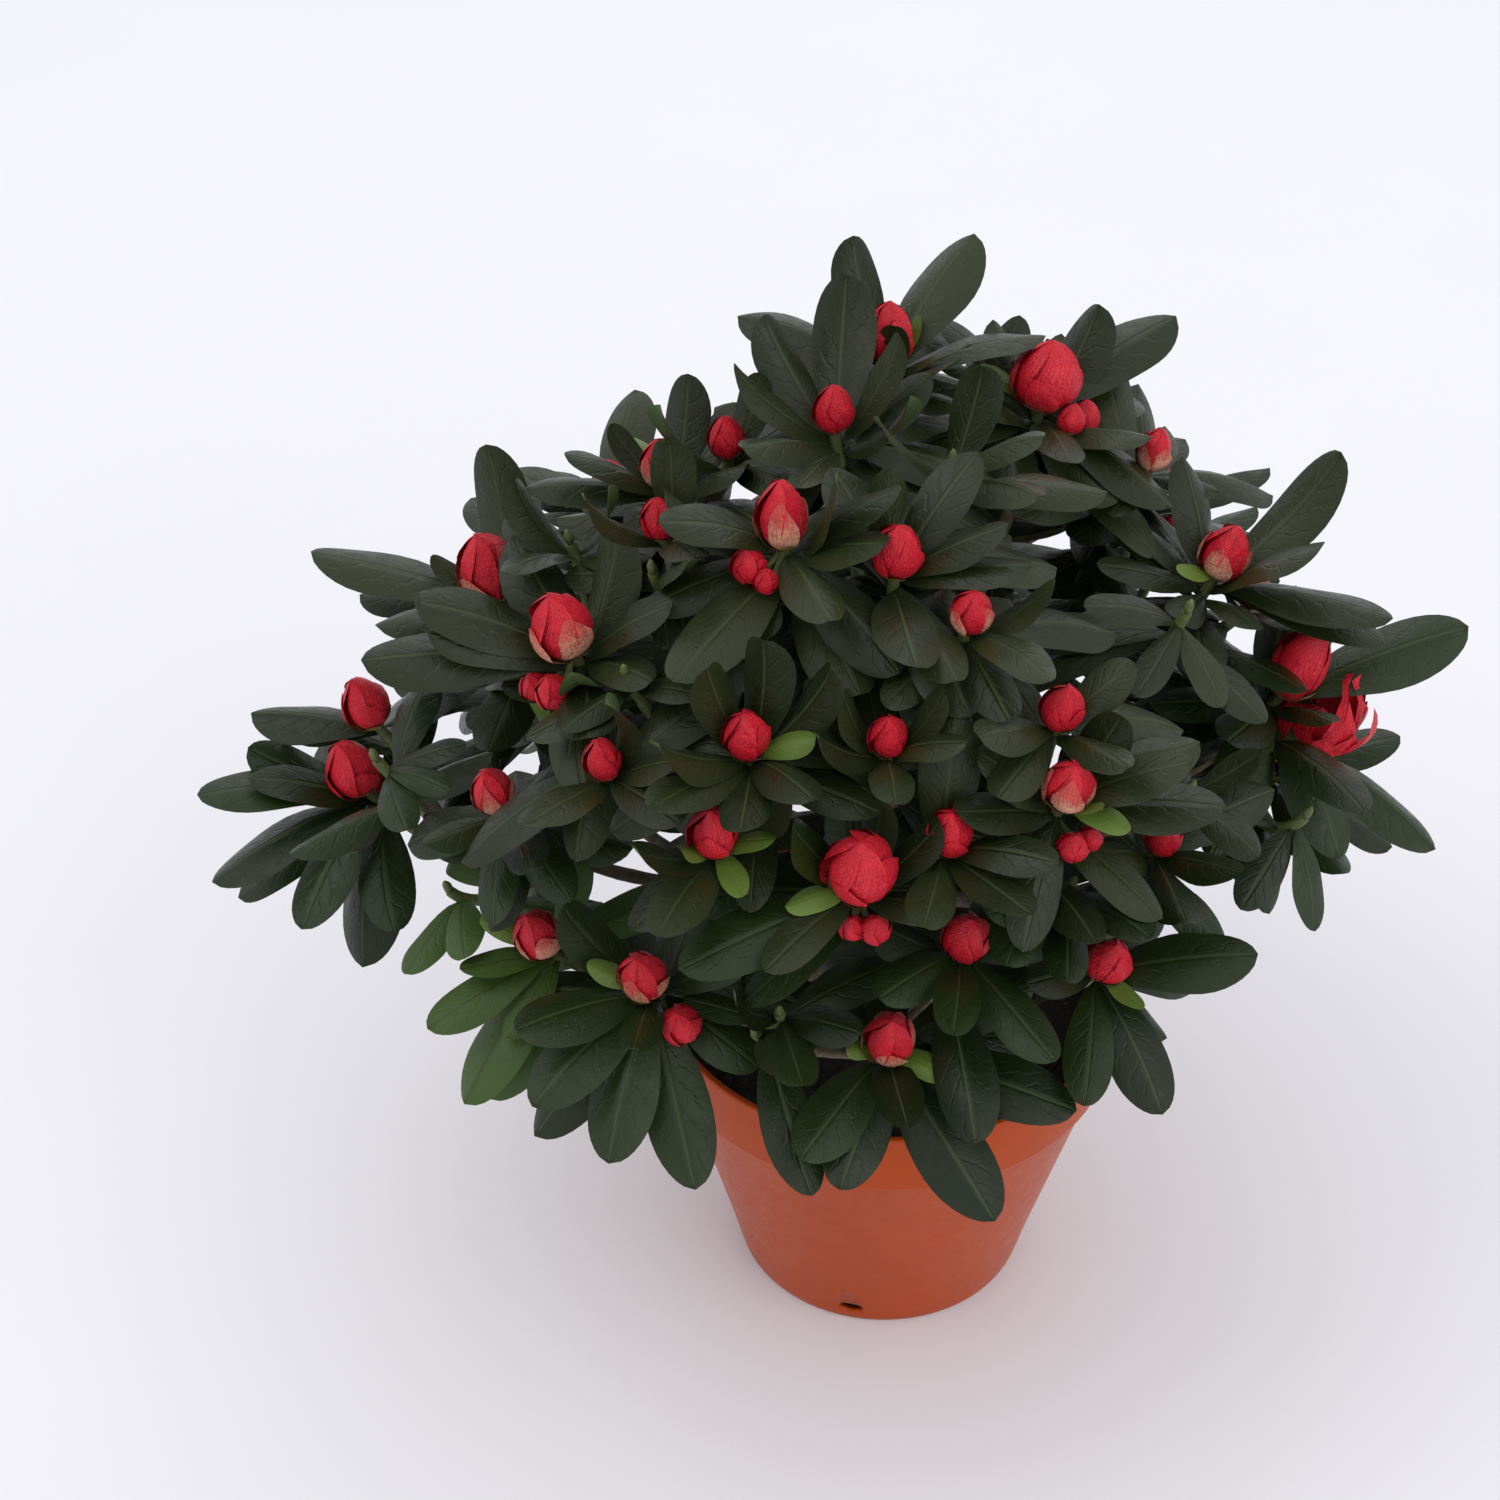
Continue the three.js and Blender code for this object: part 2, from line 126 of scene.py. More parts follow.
# each mass: name, degrees round from the front, reach, height, bud width,
# and its side shoots as (turn round the leading one, distance from it, bud width or 0)
masses = [
    ("left_arm", -92, 133, 150, 13, [(105, 18, 12), (50, 36, 0)]),
    ("upper_left", -95, 97, 207, 14, [(180, 30, 0), (20, 36, 0)]),
    ("left_shoulder", -66, 85, 222, 14, [(150, 30, 0), (340, 34, 9)]),
    ("left_flank", -66, 103, 182, 11, [(250, 36, 0)]),
    ("top_left", -96, 56, 240, 11, [(105, 16, 9), (0, 32, 0)]),
    ("top", -118, 19, 253, 10, [(200, 28, 0)]),
    ("top_back", -176, 42, 252, 13, [(200, 32, 0)]),
    ("top_right", 138, 51, 242, 15, [(215, 30, 9), (300, 38, 0)]),
    ("high_front", -43, 42, 249, 12, [(195, 30, 9)]),
    ("high_right", -6, 38, 246, 12, [(315, 21, 10), (60, 34, 0)]),
    ("mid_left", -28, 78, 220, 11, [(265, 22, 12), (165, 34, 0)]),
    ("mid_front", -8, 87, 196, 16, [(80, 30, 9), (25, 21, 11)]),
    ("mid_right", 24, 81, 210, 12, [(75, 17, 10), (345, 34, 0)]),
    ("right_shoulder", 96, 76, 213, 13, [(290, 19, 9), (150, 34, 0)]),
    ("right_arm", 90, 94, 184, 15, [(275, 18, 16), (205, 34, 0)]),
    ("right_flank", 46, 80, 181, 9, [(170, 28, 0)]),
    ("skirt_left", -39, 95, 154, 12, [(190, 33, 12), (10, 34, 0)]),
    ("skirt_front", -3, 88, 148, 13, [(55, 30, 12), (175, 30, 0)]),
    ("skirt_right", 31, 87, 160, 11, [(110, 32, 0)]),
    ("back_high", 165, 78, 208, 13, [(180, 36, 11), (350, 36, 0)]),
    ("back_left", -132, 104, 172, 14, [(80, 36, 10), (200, 38, 0)]),
    ("back_right", 134, 98, 174, 12, [(100, 34, 11), (200, 38, 0)]),
    ("back_middle", 178, 107, 172, 15, [(20, 36, 12), (200, 38, 0)]),
    ("back_skirt_left", -118, 112, 143, 12, [(170, 38, 11)]),
    ("back_skirt", -176, 96, 136, 11, [(150, 36, 0), (20, 38, 12)]),
    ("back_skirt_right", 118, 100, 142, 13, [(20, 38, 0), (165, 38, 10)]),
]


# how fast each count turns the sine that chance reads, and how large that sine is
dealing = {"mass": 12.9898, "shoot": 78.233, "item": 37.719, "use": 4.1414, "size": 43758.5453}


# the same number from 0 to 1 for the same four counts: the fraction of a large sine of their sum
def chance(massIndex, shoot, item, use):
    angle = massIndex * dealing["mass"] + shoot * dealing["shoot"]
    angle = angle + item * dealing["item"] + use * dealing["use"]
    wave = math.sin(angle) * dealing["size"]
    return wave - math.floor(wave)


# the value that lies a share of the way from low to high
def mix(low, high, share):
    return low + (high - low) * share


# vectors divided by their lengths
def unit(vector):
    return vector / np.linalg.norm(vector, axis=-1, keepdims=True)


# the dome's outward direction at a point (offset over squared radii), and its two tangents
def domeFrame(point):
    outward = unit((point - crown["centre"]) / crown["radii"] ** 2)
    angle = math.atan2(point[0] - crown["centre"][0], crown["centre"][1] - point[1])
    right = np.array([math.cos(angle), math.sin(angle), 0.0])
    return outward, right, -np.cross(right, outward)


# a shoot's way at a point: outwards from the dome, and upright times as much upwards
def shootAxis(point):
    return unit(domeFrame(point)[0] + up * crown["upright"])


# a mass's leading tip: its reach turned round from the front, at its height
def leadTip(mass):
    around, reach, height = mass[1:4]
    turn = math.radians(around)
    return np.array([reach * math.sin(turn), -reach * math.cos(turn), float(height)])


# a side shoot's tip: so far from the leading tip along the dome, and lower by sag times distance squared
def sideTip(lead, turn, distance):
    outward, right, upward = domeFrame(lead)
    turn = math.radians(turn)
    along = right * math.cos(turn) + upward * math.sin(turn)
    return lead + distance * along - twig["sag"] * distance**2 * outward


# points of a quadratic curve: the sum of its three corners, weighted by (1-t)^2, 2t(1-t) and t^2
def curvePoints(corners, t):
    t = np.atleast_1d(np.asarray(t, float))[:, None]
    return corners[0] * (1 - t) ** 2 + corners[1] * 2 * t * (1 - t) + corners[2] * t**2


# a stretch of a quadratic curve: points of it at both ends, and between them its middle corner, which
# takes one factor of each weight from the start and one from the end
def stretch(corners, start, end):
    middle = (
        corners[0] * (1 - start) * (1 - end)
        + corners[1] * ((1 - start) * end + start * (1 - end))
        + corners[2] * start * end
    )
    return np.array([curvePoints(corners, start)[0], middle, curvePoints(corners, end)[0]])


# a curve that arrives at a tip along the shoot's axis: its middle corner is (sweep times distance) below
def sweepTo(start, tip, sweep):
    return np.array([start, tip - shootAxis(tip) * sweep * np.linalg.norm(tip - start), tip])


# the mass of a name
def massNamed(name):
    return next(mass for mass in masses if mass[0] == name)


trunkCorners = np.array(
    [
        [0.0, 0.0, rootBall["top"] + trunk["footLift"]],
        [0.0, 0.0, trunk["bendHeight"]],
        leadTip(massNamed(trunk["carries"])),
    ]
)


# where the trunk's line reaches a height: its rise is a quadratic in t, read from a fine table
def trunkShare(height):
    t = np.linspace(0.0, 1.0, trunk["samples"])
    return float(np.interp(height, curvePoints(trunkCorners, t)[:, 2], t))


# the trunk's radius: an even taper from soil to highest bough, and a flare that falls as a square
def trunkRadius(height):
    height = np.asarray(height, float)
    along = np.clip((height - rootBall["top"]) / (trunk["highestBough"] - rootBall["top"]), 0, 1)
    flare = np.clip(1 - (height - rootBall["top"]) / trunk["flareHeight"], 0, 1)
    return mix(trunk["footRadius"], trunk["tipRadius"], along) + trunk["flareRadius"] * flare**2


# each bough takes the height nearest to its rank at which its line keeps clear of those before it
def boughLines():
    wanted = 2 * bough["footRadius"] + bough["clearance"]
    borne = sorted((mass for mass in masses if mass[0] != trunk["carries"]), key=lambda mass: mass[3])
    placed = np.zeros((0, 3))
    lines = {}
    for rank, mass in enumerate(borne):
        nominal = mix(trunk["lowestBough"], trunk["highestBough"], rank / (len(borne) - 1))
        best = None
        for step in range(bough["heightSteps"]):
            if best and best[0] > wanted:
                break
            shift = (1 if step % 2 else -1) * math.ceil(step / 2) * bough["heightStep"]
            height = max(trunk["lowestBough"], nominal + shift)
            start = curvePoints(trunkCorners, trunkShare(height))[0]
            for sweep in bough["sweeps"]:
                line = sweepTo(start, leadTip(mass), sweep)
                points = curvePoints(line, np.linspace(0, 1, bough["samples"]))
                outside = points[np.linalg.norm(points - start, axis=1) > trunkRadius(height)]
                gaps = np.linalg.norm(outside[:, None] - placed[None], axis=2)
                least = gaps.min() if gaps.size else math.inf
                if best is None or least > best[0]:
                    best = (least, line, outside)
                if least > wanted:
                    break
        placed = np.concatenate([placed, best[2]])
        lines[mass[0]] = best[1]
    return lines


# every shoot as a record of its mass, number, line and bud width: the leading ones, then the side ones
def growShoots(lines):
    shoots = []
    stems = {}
    along = np.linspace(0, 1, twig["samples"])
    for index, mass in enumerate(masses):
        byTrunk = mass[0] == trunk["carries"]
        path = trunkCorners if byTrunk else lines[mass[0]]
        end = trunkShare(trunk["height"]) if byTrunk else bough["share"]
        stems[mass[0]] = stretch(path, end - bough["overlap"], 1.0)
        shoots.append({"mass": index, "number": 0, "line": stems[mass[0]], "bud": mass[4]})
    for index, mass in enumerate(masses):
        stem = stems[mass[0]]
        for number, (turn, distance, budWidth) in enumerate(mass[5], 1):
            tip = sideTip(stem[2], turn, distance)
            others = np.concatenate(
                [curvePoints(shoot["line"], along) for shoot in shoots if shoot["mass"] != index]
            )
            best = None
            for share in twig["branchPoints"]:
                for sweep in twig["sweeps"]:
                    line = sweepTo(curvePoints(stem, share)[0], tip, sweep)
                    points = curvePoints(line, along)
                    least = np.linalg.norm(points[:, None] - others[None], axis=2).min()
                    if best is None or (best[0] <= twig["clearance"] and least > best[0]):
                        best = (least, line)
            shoots.append({"mass": index, "number": number, "line": best[1], "bud": budWidth})
    return shoots


boughPaths = boughLines()
shoots = growShoots(boughPaths)
print("plan:", len(masses), "masses,", len(shoots), "shoots")


# the faces of a grid of rows and columns, for as many copies as asked: closed joins the last column
# to the first, and poles draws the first and the last row together into one corner each
def gridFaces(rows, columns, copies=1, closed=False, poles=False):
    strips = columns if closed else columns - 1
    row, column = np.meshgrid(np.arange(rows - 1), np.arange(strips), indexing="ij")
    following = (column + 1) % columns
    corners = [(row, column), (row, following), (row + 1, following), (row + 1, column)]
    if poles:
        corners = [(r, np.where((r == 0) | (r == rows - 1), 0, c)) for r, c in corners]
    faces = np.stack([r * columns + c for r, c in corners], axis=-1).reshape(-1, 4)
    return (faces[None] + np.arange(copies)[:, None, None] * rows * columns).reshape(-1, 4)


# where faces meet more sharply than this, smooth shading stops
creaseAngle = math.radians(70)


# a piece from arrays: a face's corner is dropped where it equals the next one, and so are spare points
def addPiece(name, points, faces, materials, slots=None, uv=None, slot=None, smooth=True):
    kept = faces != np.roll(faces, -1, axis=1)
    used, loops = np.unique(faces[kept], return_inverse=True)
    mesh = bpy.data.meshes.new(name)
    mesh.vertices.add(len(used))
    mesh.vertices.foreach_set("co", (points[used] * mm).astype(np.float32).ravel())
    mesh.loops.add(len(loops))
    mesh.loops.foreach_set("vertex_index", loops.astype(np.int32).ravel())
    mesh.polygons.add(len(faces))
    starts = np.concatenate([[0], np.cumsum(kept.sum(axis=1))[:-1]])
    mesh.polygons.foreach_set("loop_start", starts.astype(np.int32))
    mesh.polygons.foreach_set("use_smooth", np.full(len(faces), smooth))
    if slots is not None:
        mesh.polygons.foreach_set("material_index", np.asarray(slots, np.int32))
    if uv is not None:
        layer = mesh.uv_layers.new(name="UVMap")
        layer.data.foreach_set("uv", uv[used][loops.ravel()].astype(np.float32).ravel())
    for material in materials:
        mesh.materials.append(material)
    mesh.update(calc_edges=True)
    if smooth:
        mesh.set_sharp_from_angle(angle=creaseAngle)
    piece = bpy.data.objects.new(name, mesh)
    bpy.context.scene.collection.objects.link(piece)
    if slot:
        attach(piece, "root")
    return piece


# an empty node group with its named inputs and outputs
def newGroup(name, inputs, outputs):
    group = bpy.data.node_groups.new(name, "ShaderNodeTree")
    for socketName, kind in inputs.items():
        group.interface.new_socket(socketName, in_out="INPUT", socket_type=kind)
    for socketName, kind in outputs.items():
        group.interface.new_socket(socketName, in_out="OUTPUT", socket_type=kind)
    return group, group.nodes.new("NodeGroupInput"), group.nodes.new("NodeGroupOutput")


# a number or a colour is set in a socket, and another node's output is linked to it
def feed(tree, socket, value):
    if isinstance(value, tuple):
        socket.default_value = (*value, 1.0)
    elif isinstance(value, (int, float)):
        socket.default_value = value
    else:
        tree.links.new(value, socket)


# a maths node over one, two or three values
def mathNode(tree, operation, *values):
    node = tree.nodes.new("ShaderNodeMath")
    node.operation = operation
    for socket, value in zip(node.inputs, values):
        feed(tree, socket, value)
    return node.outputs[0]


# a smooth step: goes from toLow to toHigh while the value goes from fromLow to fromHigh
def rangeNode(tree, value, fromLow, fromHigh, toLow=0.0, toHigh=1.0):
    node = tree.nodes.new("ShaderNodeMapRange")
    node.interpolation_type = "SMOOTHSTEP"
    given = {"Value": value, "From Min": fromLow, "From Max": fromHigh, "To Min": toLow, "To Max": toHigh}
    for name, one in given.items():
        feed(tree, node.inputs[name], one)
    return node.outputs["Result"]


# noise of a scale, with detail finer layers over the first
def noiseNode(tree, vector, scale, detail):
    node = tree.nodes.new("ShaderNodeTexNoise")
    given = {"Vector": vector, "Scale": scale, "Detail": detail, "Roughness": mottleRule["roughness"]}
    for name, one in given.items():
        feed(tree, node.inputs[name], one)
    return node.outputs["Fac"]


# a share of 0 gives the first colour, 1 the second, and between them their mixture
def colourMix(tree, share, first, second):
    node = tree.nodes.new("ShaderNodeMix")
    node.data_type = "RGBA"
    for name, one in {"Factor": share, "A": first, "B": second}.items():
        feed(tree, node.inputs[name], one)
    return node.outputs["Result"]


# a group placed in a tree, with its inputs set by name
def groupNode(tree, group, **values):
    node = tree.nodes.new("ShaderNodeGroup")
    node.node_tree = group
    for name, one in values.items():
        feed(tree, node.inputs[name], one)
    return node.outputs[0]


# x, y and z in the piece's own frame
def objectCoordinates(tree):
    return tree.nodes.new("ShaderNodeTexCoord").outputs["Object"]


# the place on the surface that the piece's mesh holds for each point
def surfaceCoordinates(tree):
    node = tree.nodes.new("ShaderNodeUVMap")
    node.uv_map = "UVMap"
    return node.outputs["UV"]


# the mottle's two layers, each by its scale, its detail and its share, and what is spread over 0 to 1
mottleRule = {
    "coarse": (1.0, 4.0, 0.65),
    "fine": (5.3, 2.0, 0.35),
    "roughness": 0.55,
    "spread": (0.34, 0.66),
}


# mottle: a coarse and a fine noise in object coordinates, added by their shares and spread evenly
def makeMottleGroup():
    group, inside, outside = newGroup("mottle", {"Scale": "NodeSocketFloat"}, {"Value": "NodeSocketFloat"})
    scaled = group.nodes.new("ShaderNodeVectorMath")
    scaled.operation = "SCALE"
    feed(group, scaled.inputs[0], objectCoordinates(group))
    feed(group, scaled.inputs["Scale"], inside.outputs["Scale"])
    layers = [mottleRule["coarse"], mottleRule["fine"]]
    noises = [noiseNode(group, scaled.outputs[0], size, detail) for size, detail, share in layers]
    shares = [mathNode(group, "MULTIPLY", noise, layer[2]) for noise, layer in zip(noises, layers)]
    spread = rangeNode(group, mathNode(group, "ADD", *shares), *mottleRule["spread"])
    feed(group, outside.inputs["Value"], spread)
    return group


mottleGroup = makeMottleGroup()


# side veins: how many pairs, how far they sweep forward and drift, where a vein starts and fades out
# towards the edge, and how deep it is beside the midrib
veinRule = {
    "pairs": 6.5,
    "sweep": 1.7,
    "drift": 0.7,
    "driftScale": 60.0,
    "starts": 0.72,
    "fades": (0.95, 0.55),
    "depth": 0.45,
    "midrib": (0.16, 0.02),
}


# the distance from the middle of a stretch from 0 to 1, as twice the value less 1, without its sign
def fromMiddle(tree, value):
    return mathNode(tree, "ABSOLUTE", mathNode(tree, "MULTIPLY_ADD", value, 2.0, -1.0))


# leaf veins: a groove along the midrib and side veins that sweep forward, as a height from 0 to 1
def makeVeinGroup():
    sockets = {"Vector": "NodeSocketVector"}, {"Height": "NodeSocketFloat"}
    group, inside, outside = newGroup("leafVeins", *sockets)
    split = group.nodes.new("ShaderNodeSeparateXYZ")
    feed(group, split.inputs[0], inside.outputs["Vector"])
    across = fromMiddle(group, split.outputs["X"])
    uneven = groupNode(group, mottleGroup, Scale=veinRule["driftScale"])
    drift = mathNode(group, "MULTIPLY", uneven, veinRule["drift"])
    along = mathNode(group, "MULTIPLY_ADD", split.outputs["Y"], veinRule["pairs"], drift)
    phase = mathNode(group, "MULTIPLY_ADD", across, -veinRule["sweep"], along)
    vein = rangeNode(group, fromMiddle(group, mathNode(group, "FRACT", phase)), veinRule["starts"], 1.0)
    fade = mathNode(group, "MULTIPLY", rangeNode(group, across, *veinRule["fades"]), veinRule["depth"])
    sides = mathNode(group, "MULTIPLY", vein, fade)
    midrib = rangeNode(group, across, *veinRule["midrib"])
    deepest = mathNode(group, "MAXIMUM", sides, midrib)
    feed(group, outside.inputs["Height"], mathNode(group, "SUBTRACT", 1.0, deepest))
    return group


veinGroup = makeVeinGroup()


# a new material, with its tree and its shader
def newMaterial(name):
    material = bpy.data.materials.new(name)
    material.use_nodes = True
    tree = material.node_tree
    return material, tree, tree.nodes["Principled BSDF"]


# a relief: a height from 0 to 1 times the depth in millimetres
def addBump(tree, shader, height, strength, depth):
    node = tree.nodes.new("ShaderNodeBump")
    feed(tree, node.inputs["Strength"], strength)
    feed(tree, node.inputs["Distance"], depth * mm)
    feed(tree, node.inputs["Height"], height)
    feed(tree, shader.inputs["Normal"], node.outputs["Normal"])


# each leaf surface: its colour, its least and greatest roughness, and the strength of its veins
leafSurfaces = {
    "tone_0": ((0.0135, 0.0205, 0.0055), 0.29, 0.46, 0.9),
    "tone_1": ((0.021, 0.0295, 0.0088), 0.29, 0.46, 0.9),
    # the next two tones are darker as painted shade: leaves low in the crown take them
    "shaded_tone_2": ((0.008, 0.016, 0.0028), 0.29, 0.46, 0.9),
    "shaded_tone_3": ((0.0135, 0.026, 0.0046), 0.29, 0.46, 0.9),
    "fresh": ((0.042, 0.082, 0.014), 0.38, 0.5, 0.7),
    "young": ((0.1, 0.165, 0.027), 0.36, 0.48, 0.5),
    "midrib": ((0.034, 0.048, 0.016), 0.45, 0.58, 0.2),
    "under": ((0.06, 0.1, 0.03), 0.55, 0.7, 0.5),
}

# all leaf surfaces: how they shine, the grain added to their veins, and the veins' depth in millimetres
leafLook = {
    "specular": 0.31,
    "glossScale": 220.0,
    "grainScale": 700.0,
    "grain": 0.25,
    "veinDepth": 0.22,
}


# a leaf: one tone, a gloss that varies by mottle, and veins with a fine grain added to their height
def leafMaterial(name, colour, roughLow, roughHigh, veins):
    material, tree, shader = newMaterial(name)
    feed(tree, shader.inputs["Base Color"], colour)
    feed(tree, shader.inputs["Specular IOR Level"], leafLook["specular"])
    gloss = groupNode(tree, mottleGroup, Scale=leafLook["glossScale"])
    feed(tree, shader.inputs["Roughness"], rangeNode(tree, gloss, 0.0, 1.0, roughLow, roughHigh))
    height = groupNode(tree, veinGroup, Vector=surfaceCoordinates(tree))
    grain = groupNode(tree, mottleGroup, Scale=leafLook["grainScale"])
    relief = mathNode(tree, "MULTIPLY_ADD", grain, leafLook["grain"], height)
    addBump(tree, shader, relief, veins, leafLook["veinDepth"])
    return material


leafMaterials = [leafMaterial("leaf_" + name, *look) for name, look in leafSurfaces.items()]
leafSlots = {name: index for index, name in enumerate(leafSurfaces)}
freshShoots = [("skirt_left", 1), ("left_flank", 1)]


# two tones by mottle over one roughness, with a mottled grain as relief: its scale, strength and depth
def mottledMaterial(name, low, high, rough, tintScale, grain=None):
    material, tree, shader = newMaterial(name)
    mottle = groupNode(tree, mottleGroup, Scale=tintScale)
    feed(tree, shader.inputs["Base Color"], colourMix(tree, mottle, low, high))
    feed(tree, shader.inputs["Roughness"], rough)
    if grain:
        grainScale, strength, depth = grain
        addBump(tree, shader, groupNode(tree, mottleGroup, Scale=grainScale), strength, depth)
    return material


stemLook = {"tintScale": 420.0, "grainScale": 1500.0, "strength": 0.6}


# young or old wood, or a bud's scales: one grain for all, of its own depth
def stemMaterial(name, low, high, rough, depth):
    grain = (stemLook["grainScale"], stemLook["strength"], depth)
    return mottledMaterial(name, low, high, rough, stemLook["tintScale"], grain)


# two tones, roughness, and the grain's depth in millimetres
greenStem = stemMaterial("green_stem", (0.075, 0.1, 0.026), (0.13, 0.15, 0.045), 0.5, 0.15)
brownStem = stemMaterial("brown_stem", (0.07, 0.05, 0.025), (0.15, 0.11, 0.06), 0.7, 0.25)
bark = stemMaterial("bark", (0.055, 0.04, 0.027), (0.19, 0.15, 0.105), 0.85, 0.5)

# petals: the scale of their mottle, how ragged their colours meet, their ribs and streaks, and their gloss
petalLook = {
    "mottleScale": 500.0,
    "ragged": 0.16,
    "ribs": 9.0,
    "ribHeight": 0.4,
    "streakScale": 330.0,
    "streakTone": 0.55,
    "rough": 0.42,
    "specular": 0.4,
    "strength": 0.75,
    "depth": 0.4,
}


# petals: the foot's colour passes into the tip's by the height that the mesh holds, with a ragged
# edge between them, and ribs run up the petal, darker in streaks
def petalMaterial(name, low, high, fromHeight, toHeight):
    material, tree, shader = newMaterial(name)
    split = tree.nodes.new("ShaderNodeSeparateXYZ")
    feed(tree, split.inputs[0], surfaceCoordinates(tree))
    mottle = groupNode(tree, mottleGroup, Scale=petalLook["mottleScale"])
    ragged = mathNode(tree, "MULTIPLY_ADD", mottle, petalLook["ragged"], split.outputs["Y"])
    graded = colourMix(tree, rangeNode(tree, ragged, fromHeight, toHeight), low, high)
    phase = mathNode(tree, "MULTIPLY_ADD", split.outputs["X"], petalLook["ribs"], mottle)
    ribs = fromMiddle(tree, mathNode(tree, "FRACT", phase))
    patches = groupNode(tree, mottleGroup, Scale=petalLook["streakScale"])
    streaks = mathNode(tree, "MULTIPLY", ribs, patches)
    darker = tuple(value * petalLook["streakTone"] for value in high)
    feed(tree, shader.inputs["Base Color"], colourMix(tree, streaks, graded, darker))
    feed(tree, shader.inputs["Roughness"], petalLook["rough"])
    feed(tree, shader.inputs["Specular IOR Level"], petalLook["specular"])
    relief = mathNode(tree, "MULTIPLY_ADD", ribs, petalLook["ribHeight"], mottle)
    addBump(tree, shader, relief, petalLook["strength"], petalLook["depth"])
    return material


# the foot's and the tip's colours, and the heights between which one passes into the other
petal = petalMaterial("petal", (0.68, 0.09, 0.07), (0.66, 0.0085, 0.026), 0.15, 0.4)
palePetal = petalMaterial("outer_petal", (0.76, 0.4, 0.26), (0.6, 0.06, 0.055), 0.36, 0.8)
# the heart's near-black red is painted shade: it stands for the bud's inner petals and shows dark in the
# seams between them
shadedHeart = petalMaterial("shadedHeart", (0.06, 0.002, 0.004), (0.09, 0.002, 0.005), 0.2, 0.6)

budScale = stemMaterial("bud_scale", (0.15, 0.13, 0.03), (0.36, 0.2, 0.1), 0.55, 0.2)

# the pot's plastic: its tones, its gloss and its grain
plasticLook = {
    "low": (0.375, 0.0475, 0.003),
    "high": (0.41, 0.055, 0.004),
    "tintScale": 18.0,
    "rough": (0.3, 0.38),
    "roughScale": 260.0,
    "specular": 0.2,
    "grainScale": 700.0,
    "strength": 0.12,
    "depth": 0.2,
}


# the pot's plastic: two near tones by mottle, a gloss that varies a little, and a very fine grain
def potMaterial():
    material, tree, shader = newMaterial("pot_plastic")
    mottle = groupNode(tree, mottleGroup, Scale=plasticLook["tintScale"])
    tint = colourMix(tree, mottle, plasticLook["low"], plasticLook["high"])
    feed(tree, shader.inputs["Base Color"], tint)
    gloss = groupNode(tree, mottleGroup, Scale=plasticLook["roughScale"])
    feed(tree, shader.inputs["Roughness"], rangeNode(tree, gloss, 0.0, 1.0, *plasticLook["rough"]))
    feed(tree, shader.inputs["Specular IOR Level"], plasticLook["specular"])
    grain = groupNode(tree, mottleGroup, Scale=plasticLook["grainScale"])
    addBump(tree, shader, grain, plasticLook["strength"], plasticLook["depth"])
    return material


# peat and chips: rough all over, with a coarse mottle and a deep fine grain
soilLook = {"rough": 0.95, "tintScale": 300.0, "grain": (1100.0, 1.0, 0.8)}
print("materials:", len(bpy.data.materials))

# a shoot's leaves: how many there are, how large they are, how they lean from its axis in degrees,
# between which heights they come to hang, which way that axis points, how far below the tip they stand
# and how far that spreads, and the height under which they take the darker tones that are painted shade
leafRule = {
    "leadCount": 15,
    "budCount": 12,
    "bareCount": 8,
    "length": 47.0,
    "width": 16.2,
    "backSize": 0.9,
    "sideSize": 0.94,
    "firstSize": 0.84,
    "bareFirstSize": 0.58,
    "lastLength": 1.1,
    "lastWidth": 1.06,
    "lengthSpread": (0.92, 1.08),
    "widthSpread": (0.92, 1.1),
    "youngTilt": (58.0, 74.0),
    "bareTilt": (34.0, 48.0),
    "oldTilt": (99.0, 134.0),
    "turnSpread": 16.0,
    "tiltSpread": 14.0,
    "hangsBelow": 215.0,
    "hangsFully": 135.0,
    "leastHang": -0.5,
    "upright": 3.0,
    "forward": 0.45,
    "firstBelow": 3.5,
    "spread": 13.0,
    "leastLeft": 1.0,
    "lowBelow": 192.0,
    "lowSpread": 12.0,
}

# what the rule adds to shoots whose near leaves are given, all a little smaller: leaves that hang on
# the far side, then ones under the near leaves, fewer of these on shoots low in the crown
addedRule = {
    "farCounts": (6, 4),
    "farTurns": 180.0,
    "farTilt": (108.0, 140.0),
    "underCounts": (5, 2),
    "lowUnderCount": 2,
    "fullAbove": 165.0,
    "underTilt": (72.0, 108.0),
    "underBelow": (8.0, 26.0),
    "size": 0.84,
    "leastAge": 0.3,
}

# near leaves: their width over their length, their greatest width over the rule's, and how upright
# one is, as a cosine, before it arches backwards; those shorter than youngest are young ones
nearRule = {
    "youngest": 19.0,
    "youngBelow": 2.0,
    "step": 0.6,
    "slimness": (0.33, 0.43),
    "breadth": (0.95, 1.12),
    "backwards": 0.7,
    "firstItem": 60,
}

# small bright leaves close under a bud
youngRule = {
    "lowCount": 4,
    "highCount": 2,
    "lowBelow": 215.0,
    "missing": 0.35,
    "tilt": (48.0, 80.0),
    "length": (13.0, 22.0),
    "width": (5.5, 8.0),
    "below": (1.2, 3.0),
    "firstItem": 40,
}

# how far each kind of leaf may bend: along its middle, across it, round it and to one side
leafBends = {
    "rule": {"arch": (0.35, 0.95), "fold": (0.15, 0.65), "twist": (-0.35, 0.35), "sway": (-3.0, 3.0)},
    "near": {"arch": (0.3, 0.8), "fold": (0.15, 0.6), "twist": (-0.25, 0.25), "sway": (-2.0, 2.0)},
    "young": {"arch": (0.5, 0.5), "fold": (-0.25, -0.25), "twist": (-0.3, 0.3), "sway": (0.0, 0.0)},
}

